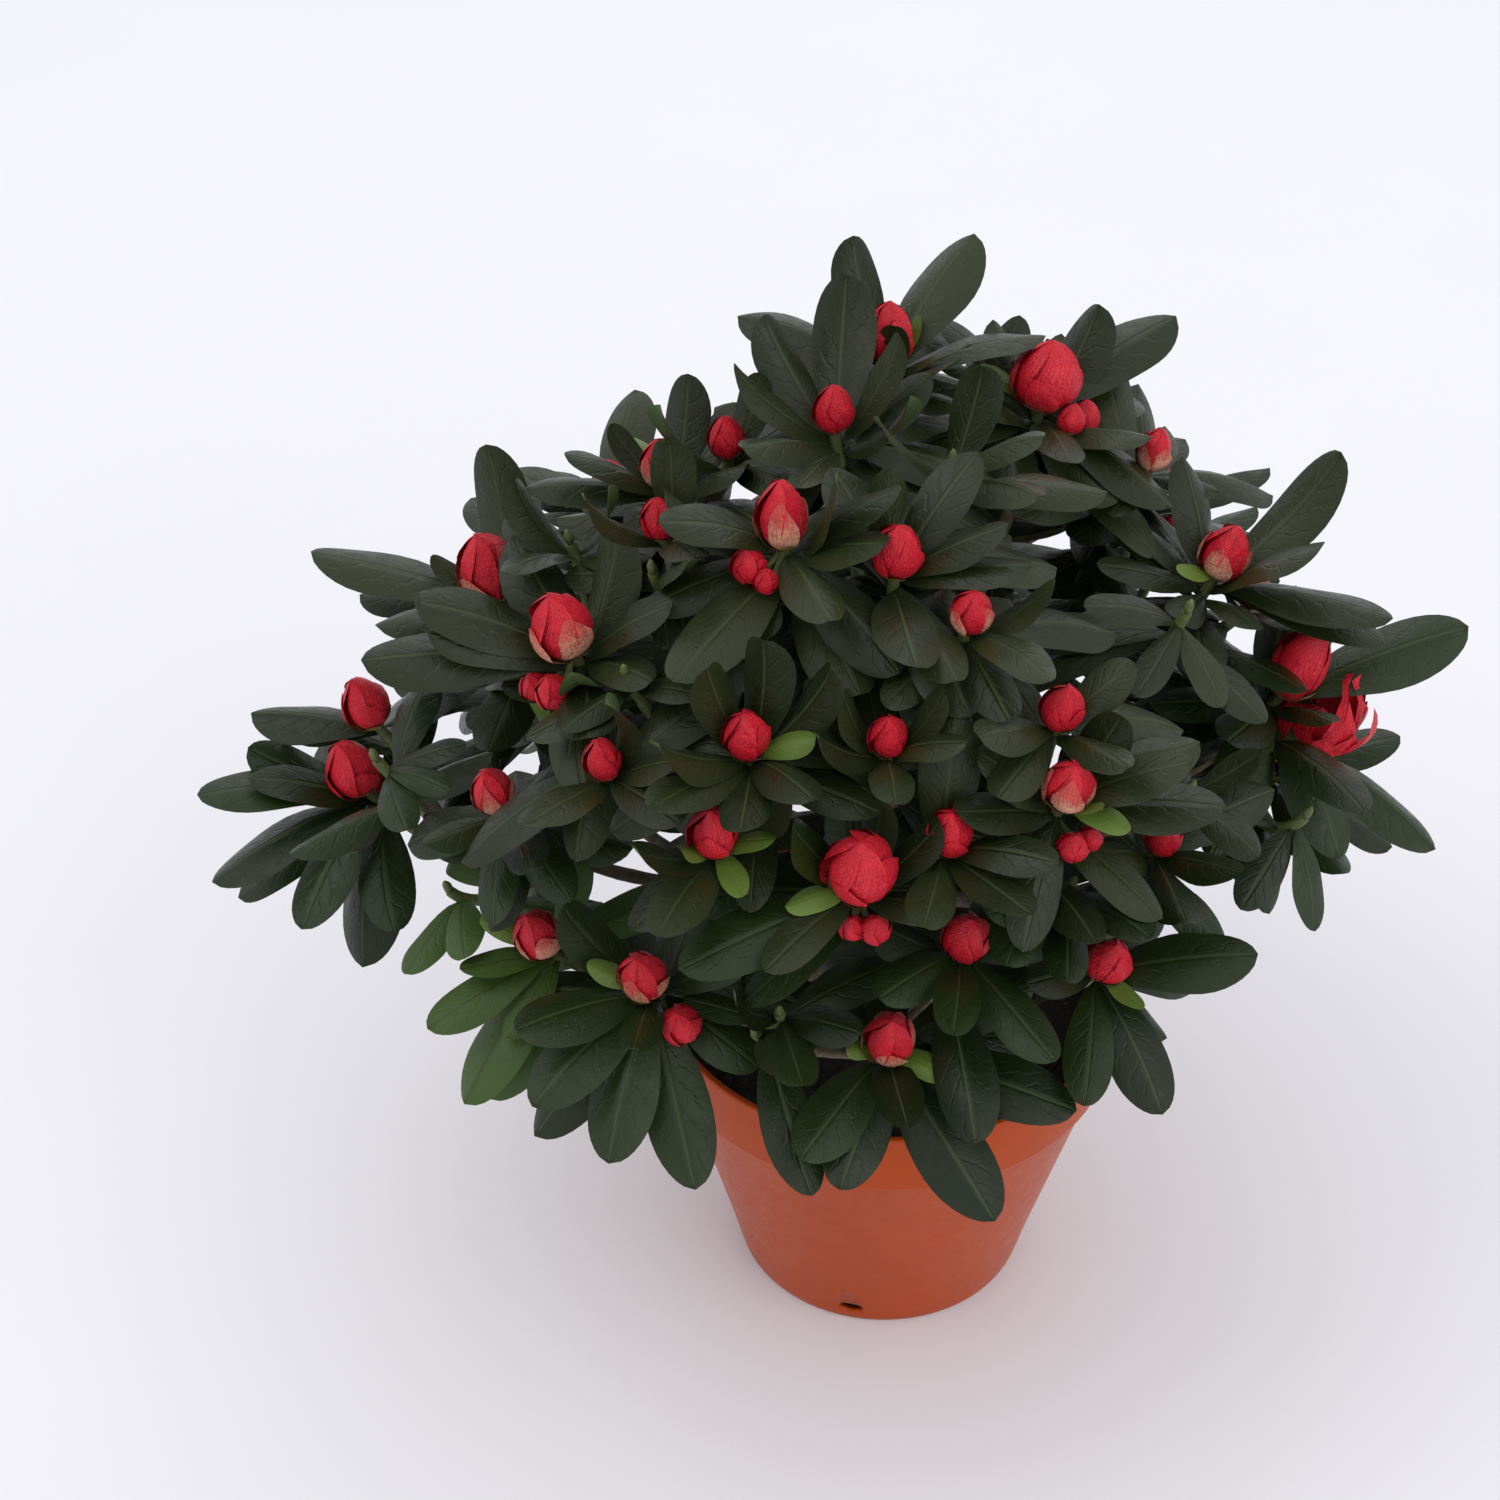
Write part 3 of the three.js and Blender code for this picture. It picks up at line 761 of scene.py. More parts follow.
# a blade's outline, the waves of its edges and the groove of its midrib, and the grid that it is
# made on; the waves and the groove reach their full height where the blade is half as wide as said
bladeShape = {
    "widestAt": 0.63,
    "tipPower": 0.56,
    "stalkHalf": 0.75,
    "stalkFade": 0.3,
    "foldPower": 1.3,
    "waves": 9.0,
    "waveHeight": 0.5,
    "waveFullAt": 6.0,
    "groove": 0.3,
    "grooveHalf": 0.12,
    "grooveFullAt": 4.0,
    "thickness": 0.5,
    "rows": 14,
    "evenRows": 0.25,
    "columns": (-1.0, -0.58, -0.045, 0.045, 0.58, 1.0),
}

# for leading shoots: the way the youngest leaf faces, in degrees from the front, how large the leaves
# are, and how much more or less they hang than their height gives
leafTurns = {
    "left_arm": (-25, 1.12, -0.6),
    "upper_left": (185, 1.0, 0.0),
    "left_shoulder": (330, 1.04, 0.0),
    "top_left": (235, 0.85, 0.0),
    "top": (185, 0.98, 0.0),
    "top_back": (145, 1.1, 0.0),
    "top_right": (150, 0.95, 0.0),
    "high_front": (5, 1.06, 0.0),
    "high_right": (140, 1.0, 0.0),
    "mid_left": (190, 0.85, 0.0),
    "mid_front": (20, 0.92, 0.0),
    "mid_right": (160, 0.95, 0.0),
    "right_shoulder": (130, 1.02, -0.2),
    "right_arm": (5, 1.14, -0.8),
    "right_flank": (40, 0.85, 0.0),
    "skirt_left": (14, 1.1, -0.05),
    "skirt_front": (20, 0.96, -0.2),
    "skirt_right": (350, 0.92, -0.2),
}

# leaves of the near side, each by the way in millimetres from its shoot's tip to its own tip:
# to the right, upwards across the line of sight, and towards the camera
nearLeaves = {
    ("left_arm", 0): [
        (-38, 4, 14), (-22, 19, 4), (-37, -24, 6), (-14, -36, 10), (-1, -46, -4), (1, -16, 24),
        (-28, 6, 2), (-33, -28, -10), (8, -37, 12), (14, 24, -16),
    ],
    ("left_arm", 2): [(19, -7, 10), (22, 3, 4), (10, -16, 16)],
    ("left_arm", 1): [(-31, 3, -6), (-26, -6, -12)],
    ("upper_left", 0): [
        (-44, 8, 6), (-1, 36, -2), (-34, 0, -10), (-12, 11, 6), (14, 15, -20), (17, 3, 16),
    ],
    ("left_shoulder", 0): [
        (-46, -4, 4), (-33, 11, 8), (-36, -16, 16), (-17, -32, 14), (3, -35, 10), (13, 27, 6),
        (25, 9, 20), (22, -10, 18), (-39, -8, 14), (-24, 3, 14), (7, -5, 18), (17, -23, 20),
    ],
    ("upper_left", 1): [(16, 2, -16), (17, -8, 16), (-6, 16, -18)],
    ("upper_left", 2): [(-20, -6, -12), (4, -16, -16)],
    ("left_shoulder", 1): [(10, 12, 20), (-14, -8, 20), (20, -4, 18), (-12, 14, 8)],
    ("left_shoulder", 2): [(16, -12, 22), (-15, -12, 22), (0, 16, 18), (18, 6, 16)],
    ("left_flank", 0): [(18, -22, 12), (-2, -28, 10), (10, -14, 24), (18, -4, 10), (-16, -9, 14)],
    ("left_flank", 1): [(-9, -20, 8), (6, -15, 20)],
    ("top_left", 0): [
        (6, 25, 0), (-33, -1, 4), (-13, 13, 2), (-23, 5, 14), (17, 19, -2), (20, 4, 14), (-10, 13, -6),
        (-21, -4, -16),
    ],
    ("top_left", 1): [(13, -3, 22), (8, 18, 6), (-14, 8, 20)],
    ("top_left", 2): [(16, 2, 20), (-20, -6, 6), (4, -18, 12)],
    ("top", 1): [(17, 4, 20), (6, 19, 8), (20, -6, 16)],
    ("top", 0): [
        (2, 36, 0), (-14, 27, 0), (-23, 13, 14), (14, 21, 12), (-21, -7, 20), (-13, -15, 22), (17, 5, 18),
        (-7, -11, 17), (23, 12, 0),
    ],
    ("top_back", 0): [(-9, 29, 0), (20, 32, -4), (-19, 16, -8), (38, 4, 4), (19, 1, 20), (8, 9, 2)],
    ("top_back", 1): [(-18, 16, -8), (10, 8, -14), (-20, -2, 6)],
    ("top_right", 0): [
        (42, 6, -18), (34, -24, 8), (-32, -13, 12), (-36, 3, 6), (13, -17, 26), (14, -27, 16),
        (26, -6, 14), (13, 24, -4), (-20, -1, 16), (-13, 11, 4), (-26, 19, -6),
    ],
    ("top_right", 1): [(20, -6, 6), (-18, 6, 2), (-10, -14, 14)],
    ("top_right", 2): [(-12, 16, -14), (16, 14, -14), (4, 20, -6)],
    ("high_front", 1): [(-17, 8, 16), (12, -10, 20), (2, 20, 12), (-18, -8, 10)],
    ("high_front", 0): [
        (-26, -5, 16), (-21, 11, 16), (0, -21, 24), (-32, -14, 10), (27, -30, 14), (24, 0, 16),
        (-15, -8, 26), (28, 10, 12), (-27, -28, 20), (14, 12, 18),
    ],
    ("high_right", 0): [
        (24, 9, 14), (23, 22, 2), (26, -7, 18), (14, -25, 20), (23, -28, 14), (2, -23, 26), (0, 20, 8),
        (-17, 22, -2),
    ],
    ("high_right", 1): [(18, -12, 20), (18, 9, 10), (-14, -16, 14), (4, -22, 16)],
    ("high_right", 2): [(20, 5, 18), (-17, 8, 16), (6, 22, 8), (20, -8, 20)],
    ("right_shoulder", 1): [(10, -8, 20)],
    ("right_shoulder", 0): [
        (32, 22, 12), (41, 1, 12), (45, -16, -4), (-8, 28, -4), (-30, 0, 10), (-13, -12, 20), (27, 3, 16),
        (5, 22, -12), (5, -15, 18), (31, 7, -18), (-26, 11, 2), (-11, -1, 10),
    ],
    ("right_shoulder", 2): [(-12, -20, 8), (-25, 2, 6), (8, -22, 4)],
    ("right_arm", 0): [
        (47, 1, -6), (14, -41, 4), (-11, -45, 4), (-20, -28, 16), (-31, -11, 14), (-17, -14, 26),
        (10, -8, 20), (-30, 12, 4), (1, 25, 2), (12, 20, -8), (33, -5, -16),
    ],
    ("right_arm", 1): [(38, -17, 0)],
    ("right_arm", 2): [(2, -28, -2), (-16, -22, 2)],
    ("mid_left", 0): [
        (-18, 0, 22), (18, 18, 14), (4, 23, 14), (15, -11, 24), (-20, -10, 22), (0, -15, 25), (15, 2, 8),
        (-12, 19, 12),
    ],
    ("mid_left", 1): [
        (-8, 0, 10), (13, 0, 9), (7, -11, 10), (-17, 0, 22), (14, 12, 18), (-14, 12, 16), (-13, -14, 22),
    ],
    ("mid_left", 2): [(18, -5, 14), (-8, -18, 12), (10, 16, 10), (-20, 4, 12)],
    ("mid_front", 2): [(22, 3, 18), (16, -15, 20), (-10, -16, 22)],
    ("mid_front", 0): [
        (-7, -31, 10), (-15, -22, 16), (-39, -20, 8), (19, 13, 10), (-14, 14, 12), (6, -27, 14),
        (18, -7, 12), (-17, -4, 4), (6, 18, 4),
    ],
    ("mid_front", 1): [(16, 0, 18), (-15, 2, 16), (2, -12, 22), (12, 11, 12), (-10, 11, 12)],
    ("mid_right", 0): [
        (27, 9, 10), (36, -15, 6), (18, -26, 10), (-1, -32, 10), (-24, -4, 14), (-20, 10, 10),
        (12, 18, 6), (8, -1, 10), (12, -9, 8),
    ],
    ("mid_right", 1): [(-22, 0, 20), (-16, -16, 20), (18, 9, 6), (14, -10, 20)],
    ("mid_right", 2): [(16, -14, 8), (14, 10, 8), (-4, -22, 6)],
    ("right_flank", 0): [(1, -16, 26), (-17, -20, 18), (13, -8, 18), (-18, 2, 20)],
    ("right_flank", 1): [(-4, -20, 22), (-20, -6, 20), (15, -11, 20)],
    ("skirt_left", 0): [
        (11, -47, 0), (-10, -40, 6), (-26, -36, -6), (-30, -7, 16), (-27, -26, 12), (0, -12, 22),
        (25, 9, 8), (-20, 18, 6), (28, -15, 8), (-13, 6, 4), (12, 20, -6),
    ],
    ("skirt_left", 1): [(-18, -38, 2), (-27, -19, 6), (-19, -6, 6), (-15, 6, 2), (-6, -22, 8)],
    ("skirt_left", 2): [(5, -14, 20), (18, -4, 14), (-10, 6, 16)],
    ("skirt_front", 0): [
        (23, -40, 4), (43, -14, 6), (-21, -23, 16), (-7, -32, 14), (15, -6, 6), (-10, 1, 6), (9, -15, 20),
    ],
    ("skirt_front", 1): [(18, -25, 16), (-21, -10, 16), (-6, -18, 22), (18, 14, 12), (-20, 11, 12)],
    ("skirt_front", 2): [(11, 6, 20), (9, -7, 21)],
    ("skirt_right", 0): [
        (35, 4, 6), (13, -33, 6), (-6, -30, 14), (25, 13, -4), (-20, -1, 18), (7, -9, 8), (16, -17, -12),
    ],
    ("skirt_right", 1): [(-20, 6, 18), (8, -19, 20), (-12, -16, 20)],
}

# gaps that stay open all the way through the crown: the way from a leading shoot's tip to the middle
# of the gap, to the right and upwards across the line of sight, and the gap's radius
skyGaps = {
    "right_arm": [
        (3, -57, 9), (-14, -50, 4), (25, -47, 8), (38, -42, 4), (32, -16, 3), (-2, -70, 9), (22, 26, 7),
        (40, 14, 6), (10, -48, 3), (-21, -42, 3),
    ],
    "mid_right": [(22, 0, 2.5), (38, -24, 3)],
    "skirt_right": [(20, 21, 2.5), (30, -10, 7), (1, -40, 4), (20, -19, 4)],
    "right_shoulder": [
        (-13, -4, 2.5), (-1, -8, 1.5), (5, -17, 1.5), (5, 33, 6), (19, 32, 5), (48, -8, 4), (36, 12, 1.5),
    ],
    "top_right": [(4, -33, 2.5), (33, 14, 6), (42, -12, 4), (29, -3, 2)],
    "top_left": [(1, -6, 1.5), (18, -2, 2.5), (-22, 16, 4), (13, 28, 4)],
    "top_back": [(4, 24, 2.5), (27, 17, 6)],
    "top": [(-12, 42, 5), (-27, 24, 5)],
    "upper_left": [(13, 34, 5), (-15, 27, 8), (-30, 19, 6), (-36, -8, 3)],
    "left_arm": [
        (-9, 34, 6), (6, 31, 2.5), (22, 15, 2.5), (14, -24, 3.5), (13, -36, 3), (27, -30, 2.5),
        (24, -42, 6), (-8, -50, 4),
    ],
    "left_flank": [(24, -20, 2.5), (8, 10, 1.5), (-2, -42, 4)],
    "skirt_left": [(-40, -18, 4), (-6, -56, 5)],
    "skirt_front": [(-5, -44, 4), (10, -50, 4)],
}

# the ways to the right, upwards across the line of sight, and towards the camera
sight = math.radians(view["lookDown"])
sightAxes = np.array(
    [
        [1.0, 0.0, 0.0],
        [0.0, math.sin(sight), math.cos(sight)],
        [0.0, -math.cos(sight), math.sin(sight)],
    ]
)


# half a leaf's width along its length: s to the power p times (1 - s) to the power q, made 1 at its
# widest, but nowhere less than its stalk, which fades out at the tip
def halfWidth(s, width):
    q = bladeShape["tipPower"]
    widest = bladeShape["widestAt"]
    p = q * widest / (1 - widest)
    s = np.clip(s, 0.0, 1.0)
    stalkHalf = bladeShape["stalkHalf"] * np.clip((1 - s) / bladeShape["stalkFade"], 0, 1)
    return np.maximum(width * 0.5 * s**p * (1 - s) ** q / (widest**p * (1 - widest) ** q), stalkHalf)


# a blade over s (stalk to tip) and u (edge to edge): its middle line is an arc whose chord is the
# leaf's direction, it twists and sways along s, its edges lie below its middle by fold times half its
# width, and a wave runs along them
def bladePoints(leaves, s, u):
    s = s[None, :, None]
    u = u[None, None, :]
    grid = lambda key: leaves[key][:, None, None]
    arch = grid("arch")
    bend = arch * (0.5 - s)
    along = (np.sin(arch / 2) - np.sin(bend)) / arch
    above = (np.cos(bend) - np.cos(arch / 2)) / arch
    half = halfWidth(s, grid("width"))
    twist = grid("twist") * s
    wave = bladeShape["waveHeight"] * np.sin(bladeShape["waves"] * s + grid("phase")) * np.abs(u) ** 2
    lift = -grid("fold") * half * np.abs(u) ** bladeShape["foldPower"]
    lift = lift + wave * np.clip(half / bladeShape["waveFullAt"], 0, 1)
    groove = bladeShape["groove"] * np.exp(-((u / bladeShape["grooveHalf"]) ** 2))
    lift = lift - groove * np.clip(half / bladeShape["grooveFullAt"], 0, 1)
    across = u * half * np.cos(twist) - lift * np.sin(twist)
    rise = u * half * np.sin(twist) + lift * np.cos(twist)
    across = across + grid("sway") * s**2
    direction = leaves["direction"][:, None, None, :]
    normal = leaves["normal"][:, None, None, :]
    side = np.cross(direction, normal)
    raised = (grid("length") * above + rise * np.cos(bend))[..., None] * normal
    forward = (grid("length") * along - rise * np.sin(bend))[..., None] * direction
    return leaves["root"][:, None, None, :] + forward + raised + across[..., None] * side


# a leaf's bends, each the mixture of its kind's least and greatest by a share that is dealt out
def bendsOf(kind, shares):
    return {name: mix(*span, share) for (name, span), share in zip(leafBends[kind].items(), shares)}


# a shoot's leaves, from the youngest by the tip to the oldest: spiral turns, and tilts that flatten
# with age and hang more the lower the shoot stands in the crown; where the near leaves are given,
# far ones spread evenly round the back and then under ones, which start further and further down
def leafPlan(massIndex, number, bud, height):
    name = masses[massIndex][0]
    spin, large, lower = leafTurns.get(name, (None, leafRule["backSize"], 0.0))
    if spin is None or number > 0:
        spin = 360 * chance(massIndex, number, 0, 1)
        large = min(large, leafRule["sideSize"])
    count = leafRule["leadCount"] if number == 0 else leafRule["budCount" if bud else "bareCount"]
    hang = (leafRule["hangsBelow"] - height) / (leafRule["hangsBelow"] - leafRule["hangsFully"])
    hang = min(1.0, max(leafRule["leastHang"], hang + lower))
    first = mix(*leafRule["youngTilt" if bud else "bareTilt"], hang)
    last = mix(*leafRule["oldTilt"], hang)
    least = leafRule["firstSize" if bud else "bareFirstSize"]
    given = (name, number) in nearLeaves
    if given:
        first, last = addedRule["farTilt"]
        rank = min(number, 1)
        far = addedRule["farCounts"][rank] if bud else 0
        full = height > addedRule["fullAbove"]
        count = far + (addedRule["underCounts"][rank] if full else addedRule["lowUnderCount"])
        large *= addedRule["size"]
    plan = []
    for k in range(count):
        age = k / (count - 1)
        share = [chance(massIndex, number, k, use) for use in range(2, 11)]
        turn = spin + k * goldenTurn + leafRule["turnSpread"] * (share[0] - 0.5)
        below = leafRule["firstBelow"] + leafRule["spread"] * age
        tilt = mix(first, last, age)
        if given:
            age = mix(addedRule["leastAge"], 1.0, share[0])
        if given and k < far:
            turn = 180 + addedRule["farTurns"] * ((k + 0.5) / far - 0.5)
        elif given:
            below = mix(*addedRule["underBelow"], (k - far) / (count - far))
            tilt = mix(*addedRule["underTilt"], share[2])
        length = large * leafRule["length"] * mix(least, leafRule["lastLength"], age)
        width = large * leafRule["width"] * mix(least, leafRule["lastWidth"], age**0.5)
        leaf = {"turn": turn, "tilt": tilt + leafRule["tiltSpread"] * (share[1] - 0.5), "below": below}
        leaf["length"] = length * mix(*leafRule["lengthSpread"], share[2])
        leaf["width"] = width * mix(*leafRule["widthSpread"], share[3])
        leaf["phase"] = wholeTurn * share[8]
        plan.append({**leaf, **bendsOf("rule", share[4:8])})
    return plan


# a leaf given by its way: its tilt from the shoot's axis and its turn round it come from the direction
def nearPlan(massIndex, number, k, way, root, tip, axes):
    share = [chance(massIndex, number, nearRule["firstItem"] + k, use) for use in range(1, 7)]
    chord = tip + np.array(way, float) @ sightAxes - root
    length = np.linalg.norm(chord)
    axis, east, north = axes
    slim = length * mix(*nearRule["slimness"], share[0])
    leaf = {"turn": math.degrees(math.atan2(chord @ north, chord @ east))}
    leaf["tilt"] = math.degrees(math.acos(chord @ axis / length))
    leaf["length"] = length
    leaf["width"] = min(slim, leafRule["width"] * mix(*nearRule["breadth"], share[1]))
    leaf["phase"] = wholeTurn * share[1]
    leaf.update(bendsOf("near", share[2:6]))
    if chord @ axis > nearRule["backwards"] * length:
        leaf["arch"] = -leaf["arch"]
    return leaf


# leaves' values as arrays, one for each key
def leafArrays(leaves):
    keys = [key for key in leaves[0] if key != "below"]
    return {key: np.array([leaf[key] for leaf in leaves], float) for key in keys}


# a leaf where it grows: its direction leans from the axis by tilt less rise, towards its turn plus
# swing, its face looks up the axis, and its size is its plan's times shrink
def blade(plan, root, axis, east, north, rise, swing, shrink):
    angle = math.radians(plan["tilt"] - rise)
    heading = math.radians(plan["turn"] + swing)
    away = east * math.cos(heading) + north * math.sin(heading)
    made = dict(plan)
    made["root"] = root
    made["direction"] = axis * math.cos(angle) + away * math.sin(angle)
    made["normal"] = axis * math.sin(angle) - away * math.cos(angle)
    made["length"] = plan["length"] * shrink
    made["width"] = plan["width"] * shrink
    return made


# a search tree over a mesh's faces
def treeOf(points, faces):
    return BVHTree.FromPolygons(points.tolist(), faces.tolist())


# rows and columns of the coarse blade that is tried in each place, whole and without its stalk, and the
# ways it may give: degrees up, degrees round, and share of its size
probe = {
    "whole": np.array([0.1, 0.3, 0.5, 0.7, 0.88, 1.0]),
    "blade": np.array([0.34, 0.52, 0.72, 0.88, 1.0]),
    "across": np.array([-1.0, -0.5, 0.0, 0.5, 1.0]),
    "ways": [
        (rise, swing, shrink)
        for shrink in (1.0, 0.85, 0.7)
        for rise in (0, 8, -8, 16, -14, 24, -24, 34)
        for swing in (0, 12, -12)
    ],
    "nearWays": [
        (rise, swing, shrink)
        for shrink in (1.0, 0.92, 0.82)
        for rise in (0, 5, -5, 10, -10, 16, -16)
        for swing in (0, 5, -5, 10, -10, 16, -16)
    ],
}


# what already stands in the crown: for each thing its box, its tree, its tree without the stalk if it
# is a leaf, and the shoot or kind that owns it
class Obstacles:
    def __init__(self):
        self.lows = np.zeros((0, 3))
        self.highs = np.zeros((0, 3))
        self.items = []

    # keeps one more thing
    def add(self, points, tree, owner, bladeTree=None):
        self.lows = np.vstack([self.lows, points.min(0)])
        self.highs = np.vstack([self.highs, points.max(0)])
        self.items.append((tree, bladeTree, owner))

    # whether a leaf's tree meets any kept one: leaves of one shoot are compared without their stalks
    def meets(self, points, tree, bladeTree, owner):
        close = np.all((self.lows < points.max(0)) & (self.highs > points.min(0)), axis=1)
        for index in np.nonzero(close)[0]:
            otherTree, otherBlade, otherOwner = self.items[index]
            if otherOwner == owner:
                if otherBlade is not None and bladeTree.overlap(otherBlade):
                    return True
            elif tree.overlap(otherTree):
                return True
        return False


# a line straighter than this has no plane of its own, and is given one across this direction
straightLine = {"under": 1e-6, "across": (0.0, 1.0, 0.3)}


# a tube round a curve: rings of radius(t) in the curve's own plane and across it, shut at both ends
def tubePoints(corners, radius, sides, steps, relief=None):
    t = np.linspace(0, 1, steps + 1)
    t = np.concatenate([[0.0], t, [1.0]])
    centre = curvePoints(corners, t)
    start, end = corners[1] - corners[0], corners[2] - corners[1]
    tangent = unit(2 * (1 - t)[:, None] * start + 2 * t[:, None] * end)
    plane = np.cross(start, end)
    if np.linalg.norm(plane) < straightLine["under"]:
        plane = np.cross(tangent[0], straightLine["across"])
    plane = np.broadcast_to(unit(plane), tangent.shape)
    inward = np.cross(plane, tangent)
    angle = np.linspace(0, 2 * np.pi, sides, endpoint=False)
    rings = radius(t)[:, None] * np.ones(sides)
    if relief is not None:
        rings = rings * relief(t[:, None], angle[None, :])
    rings[[0, -1]] = 0.0
    ring = np.cos(angle)[None, :, None] * plane[:, None] + np.sin(angle)[None, :, None] * inward[:, None]
    return (centre[:, None] + rings[..., None] * ring).reshape(-1, 3)


# a tube's faces, closed at both ends and turned to look outwards
def tubeFaces(sides, steps, copies=1):
    return gridFaces(steps + 3, sides, copies, closed=True, poles=True)[:, ::-1]


# a bud's outline, and what its girth and its height over its width are where no form is given
budShape = {"sunk": 0.1, "fullest": 0.41, "tipPower": 0.8, "girth": 0.82, "tall": (1.4, 1.8)}

# leading buds' own forms: girth as a share of the plan's width, and height over width
budForms = {
    "high_front": (0.86, 1.95),
    "top_right": (1.0, 1.25),
    "mid_front": (0.86, 1.45),
    "left_shoulder": (0.92, 1.5),
    "upper_left": (0.95, 1.5),
    "left_arm": (0.92, 1.45),
    "right_arm": (0.82, 1.95),
}


# a bud's half width up its height: t to the power p times (1 - t) to the power q, made 1 at its fullest
def budHalf(t):
    q = budShape["tipPower"]
    p = q * budShape["fullest"] / (1 - budShape["fullest"])
    t = np.clip(t, 0.0, 1.0)
    return t**p * (1 - t) ** q / (budShape["fullest"] ** p * (1 - budShape["fullest"]) ** q)


# a bud's axis, which its leaves stand round: the dome's outward direction turned well upwards and a
# little to the front
def axesAt(tip):
    axis = unit(domeFrame(tip)[0] + up * leafRule["upright"] + front * leafRule["forward"])
    east = unit(np.cross([1.0, 0.0, 0.0], axis))
    return axis, east, np.cross(axis, east)


# a bud's hull: rings of its half width up its axis, from a foot that is sunk in the shoot's tip
def budHull(tip, width, tall, rows, columns):
    axis, east, north = axesAt(tip)
    t = np.linspace(0, 1, rows)[:, None]
    angle = np.linspace(0, 2 * np.pi, columns, endpoint=False)[None, :]
    radius = 0.5 * width * budHalf(t) * np.ones_like(angle)
    height = (t - budShape["sunk"]) * width * tall * np.ones_like(angle)
    points = tip + height[..., None] * axis + (radius * np.cos(angle))[..., None] * east
    points = points + (radius * np.sin(angle))[..., None] * north
    return points.reshape(-1, 3)


# a radius that goes evenly from a piece's foot to its tip
def taperOf(piece):
    return lambda t: mix(piece["footRadius"], piece["tipRadius"], t)


# small red buds that stand beside a leading one: turn round it, distance from it, and width
companions = {
    "left_shoulder": [(300, 11, 7), (265, 12, 6)],
    "high_front": [(250, 10, 7), (280, 11, 5)],
    "mid_front": [(290, 11, 6), (262, 10, 5)],
    "mid_right": [(265, 11, 6), (290, 11, 5)],
    "skirt_left": [(325, 12, 8)],
    "top_back": [(20, 9, 9)],
    "top_right": [(240, 12, 7), (180, 10, 6)],
    "left_arm": [(215, 10, 7)],
    "right_shoulder": [(335, 13, 9)],
}

# a companion's stalk: it leaves the stem at a share of its line, bends at a depth under the bud's foot,
# and sets the bud lower than the dome and to a height over its width
stalk = {"lowered": 3.0, "from": 0.8, "bend": 4.0, "footRadius": 0.8, "tipRadius": 1.1, "tall": 1.4}
companionSeeds = 100


# every flower bud's place: on a shoot's tip, or beside it on a stalk of its own from the stem below
def placeBuds():
    places, stalks = [], []
    for seed, shoot in enumerate(shoots):
        tip = shoot["line"][2]
        name = masses[shoot["mass"]][0]
        leading = shoot["number"] == 0
        if shoot["bud"]:
            usual = (budShape["girth"], mix(*budShape["tall"], chance(seed, 4, 4, 4)))
            girth, tall = budForms.get(name if leading else None, usual)
            own = (name, shoot["number"])
            width = shoot["bud"] * girth
            places.append({"foot": tip, "width": width, "tall": tall, "shoot": own, "seed": seed})
        beside = companions.get(name, []) if leading else []
        for item, (turn, distance, width) in enumerate(beside, 1):
            foot = sideTip(tip, turn, distance) - stalk["lowered"] * shootAxis(tip)
            place = {"foot": foot, "width": width, "tall": stalk["tall"], "shoot": (name, "beside")}
            place["seed"] = seed + companionSeeds * item
            places.append(place)
            start = curvePoints(shoot["line"], stalk["from"])[0]
            stalks.append(np.array([start, foot - stalk["bend"] * axesAt(foot)[0], foot]))
    return places, stalks


# sides and steps of the plain tubes and hulls that leaves are tried against
coarse = {"sides": 5, "steps": 6, "shaftSides": 6, "shaftSteps": 2, "hullRows": 5, "hullColumns": 6}
rimProbe = {"foot": 30.0, "points": 25}

budPlaces, budStalks = placeBuds()
obstacles = Obstacles()


# keeps a plain tube round a line
def addTube(line, radius, owner, sides=coarse["sides"], steps=coarse["steps"]):
    points = tubePoints(line, radius, sides, steps)
    obstacles.add(points, treeOf(points, tubeFaces(sides, steps)), owner)


for line in boughPaths.values():
    addTube(stretch(line, 0, bough["share"]), taperOf(bough), "limb")
for shoot in shoots:
    addTube(shoot["line"], taperOf(twig), (shoot["mass"], shoot["number"]))
hullFaces = gridFaces(coarse["hullRows"], coarse["hullColumns"], closed=True, poles=True)
for place in budPlaces:
    points = budHull(place["foot"], place["width"], place["tall"], coarse["hullRows"], coarse["hullColumns"])
    obstacles.add(points, treeOf(points, hullFaces), "bud")

# shafts that stay clear: before each bud, over the soil as x, y, z and radius, and through the crown
clearing = {
    "budLength": 55.0,
    "budRadius": 0.42,
    "budMiddle": 0.75,
    "budStart": 3.0,
    "frontDepth": 60.0,
    "outwardLoss": 0.72,
    "budView": 1.1 * front + 0.85 * up,
    "nearShare": 0.6,
    "soil": [(-26, -32, 83, 11), (-40, -44, 84, 8), (44, -40, 82, 9), (8, -59, 70, 7)],
    "soilLength": 80.0,
    "soilView": 1.1 * front + 0.87 * up,
    "skyLength": 420.0,
}


# a straight shaft that leaves keep out of: a tube of one radius
def keepClear(start, direction, length, radius):
    line = start + unit(direction) * np.array([[0.0], [0.5], [1.0]]) * length
    even = {"footRadius": radius, "tipRadius": radius}
    addTube(line, taperOf(even), "clearing", coarse["shaftSides"], coarse["shaftSteps"])


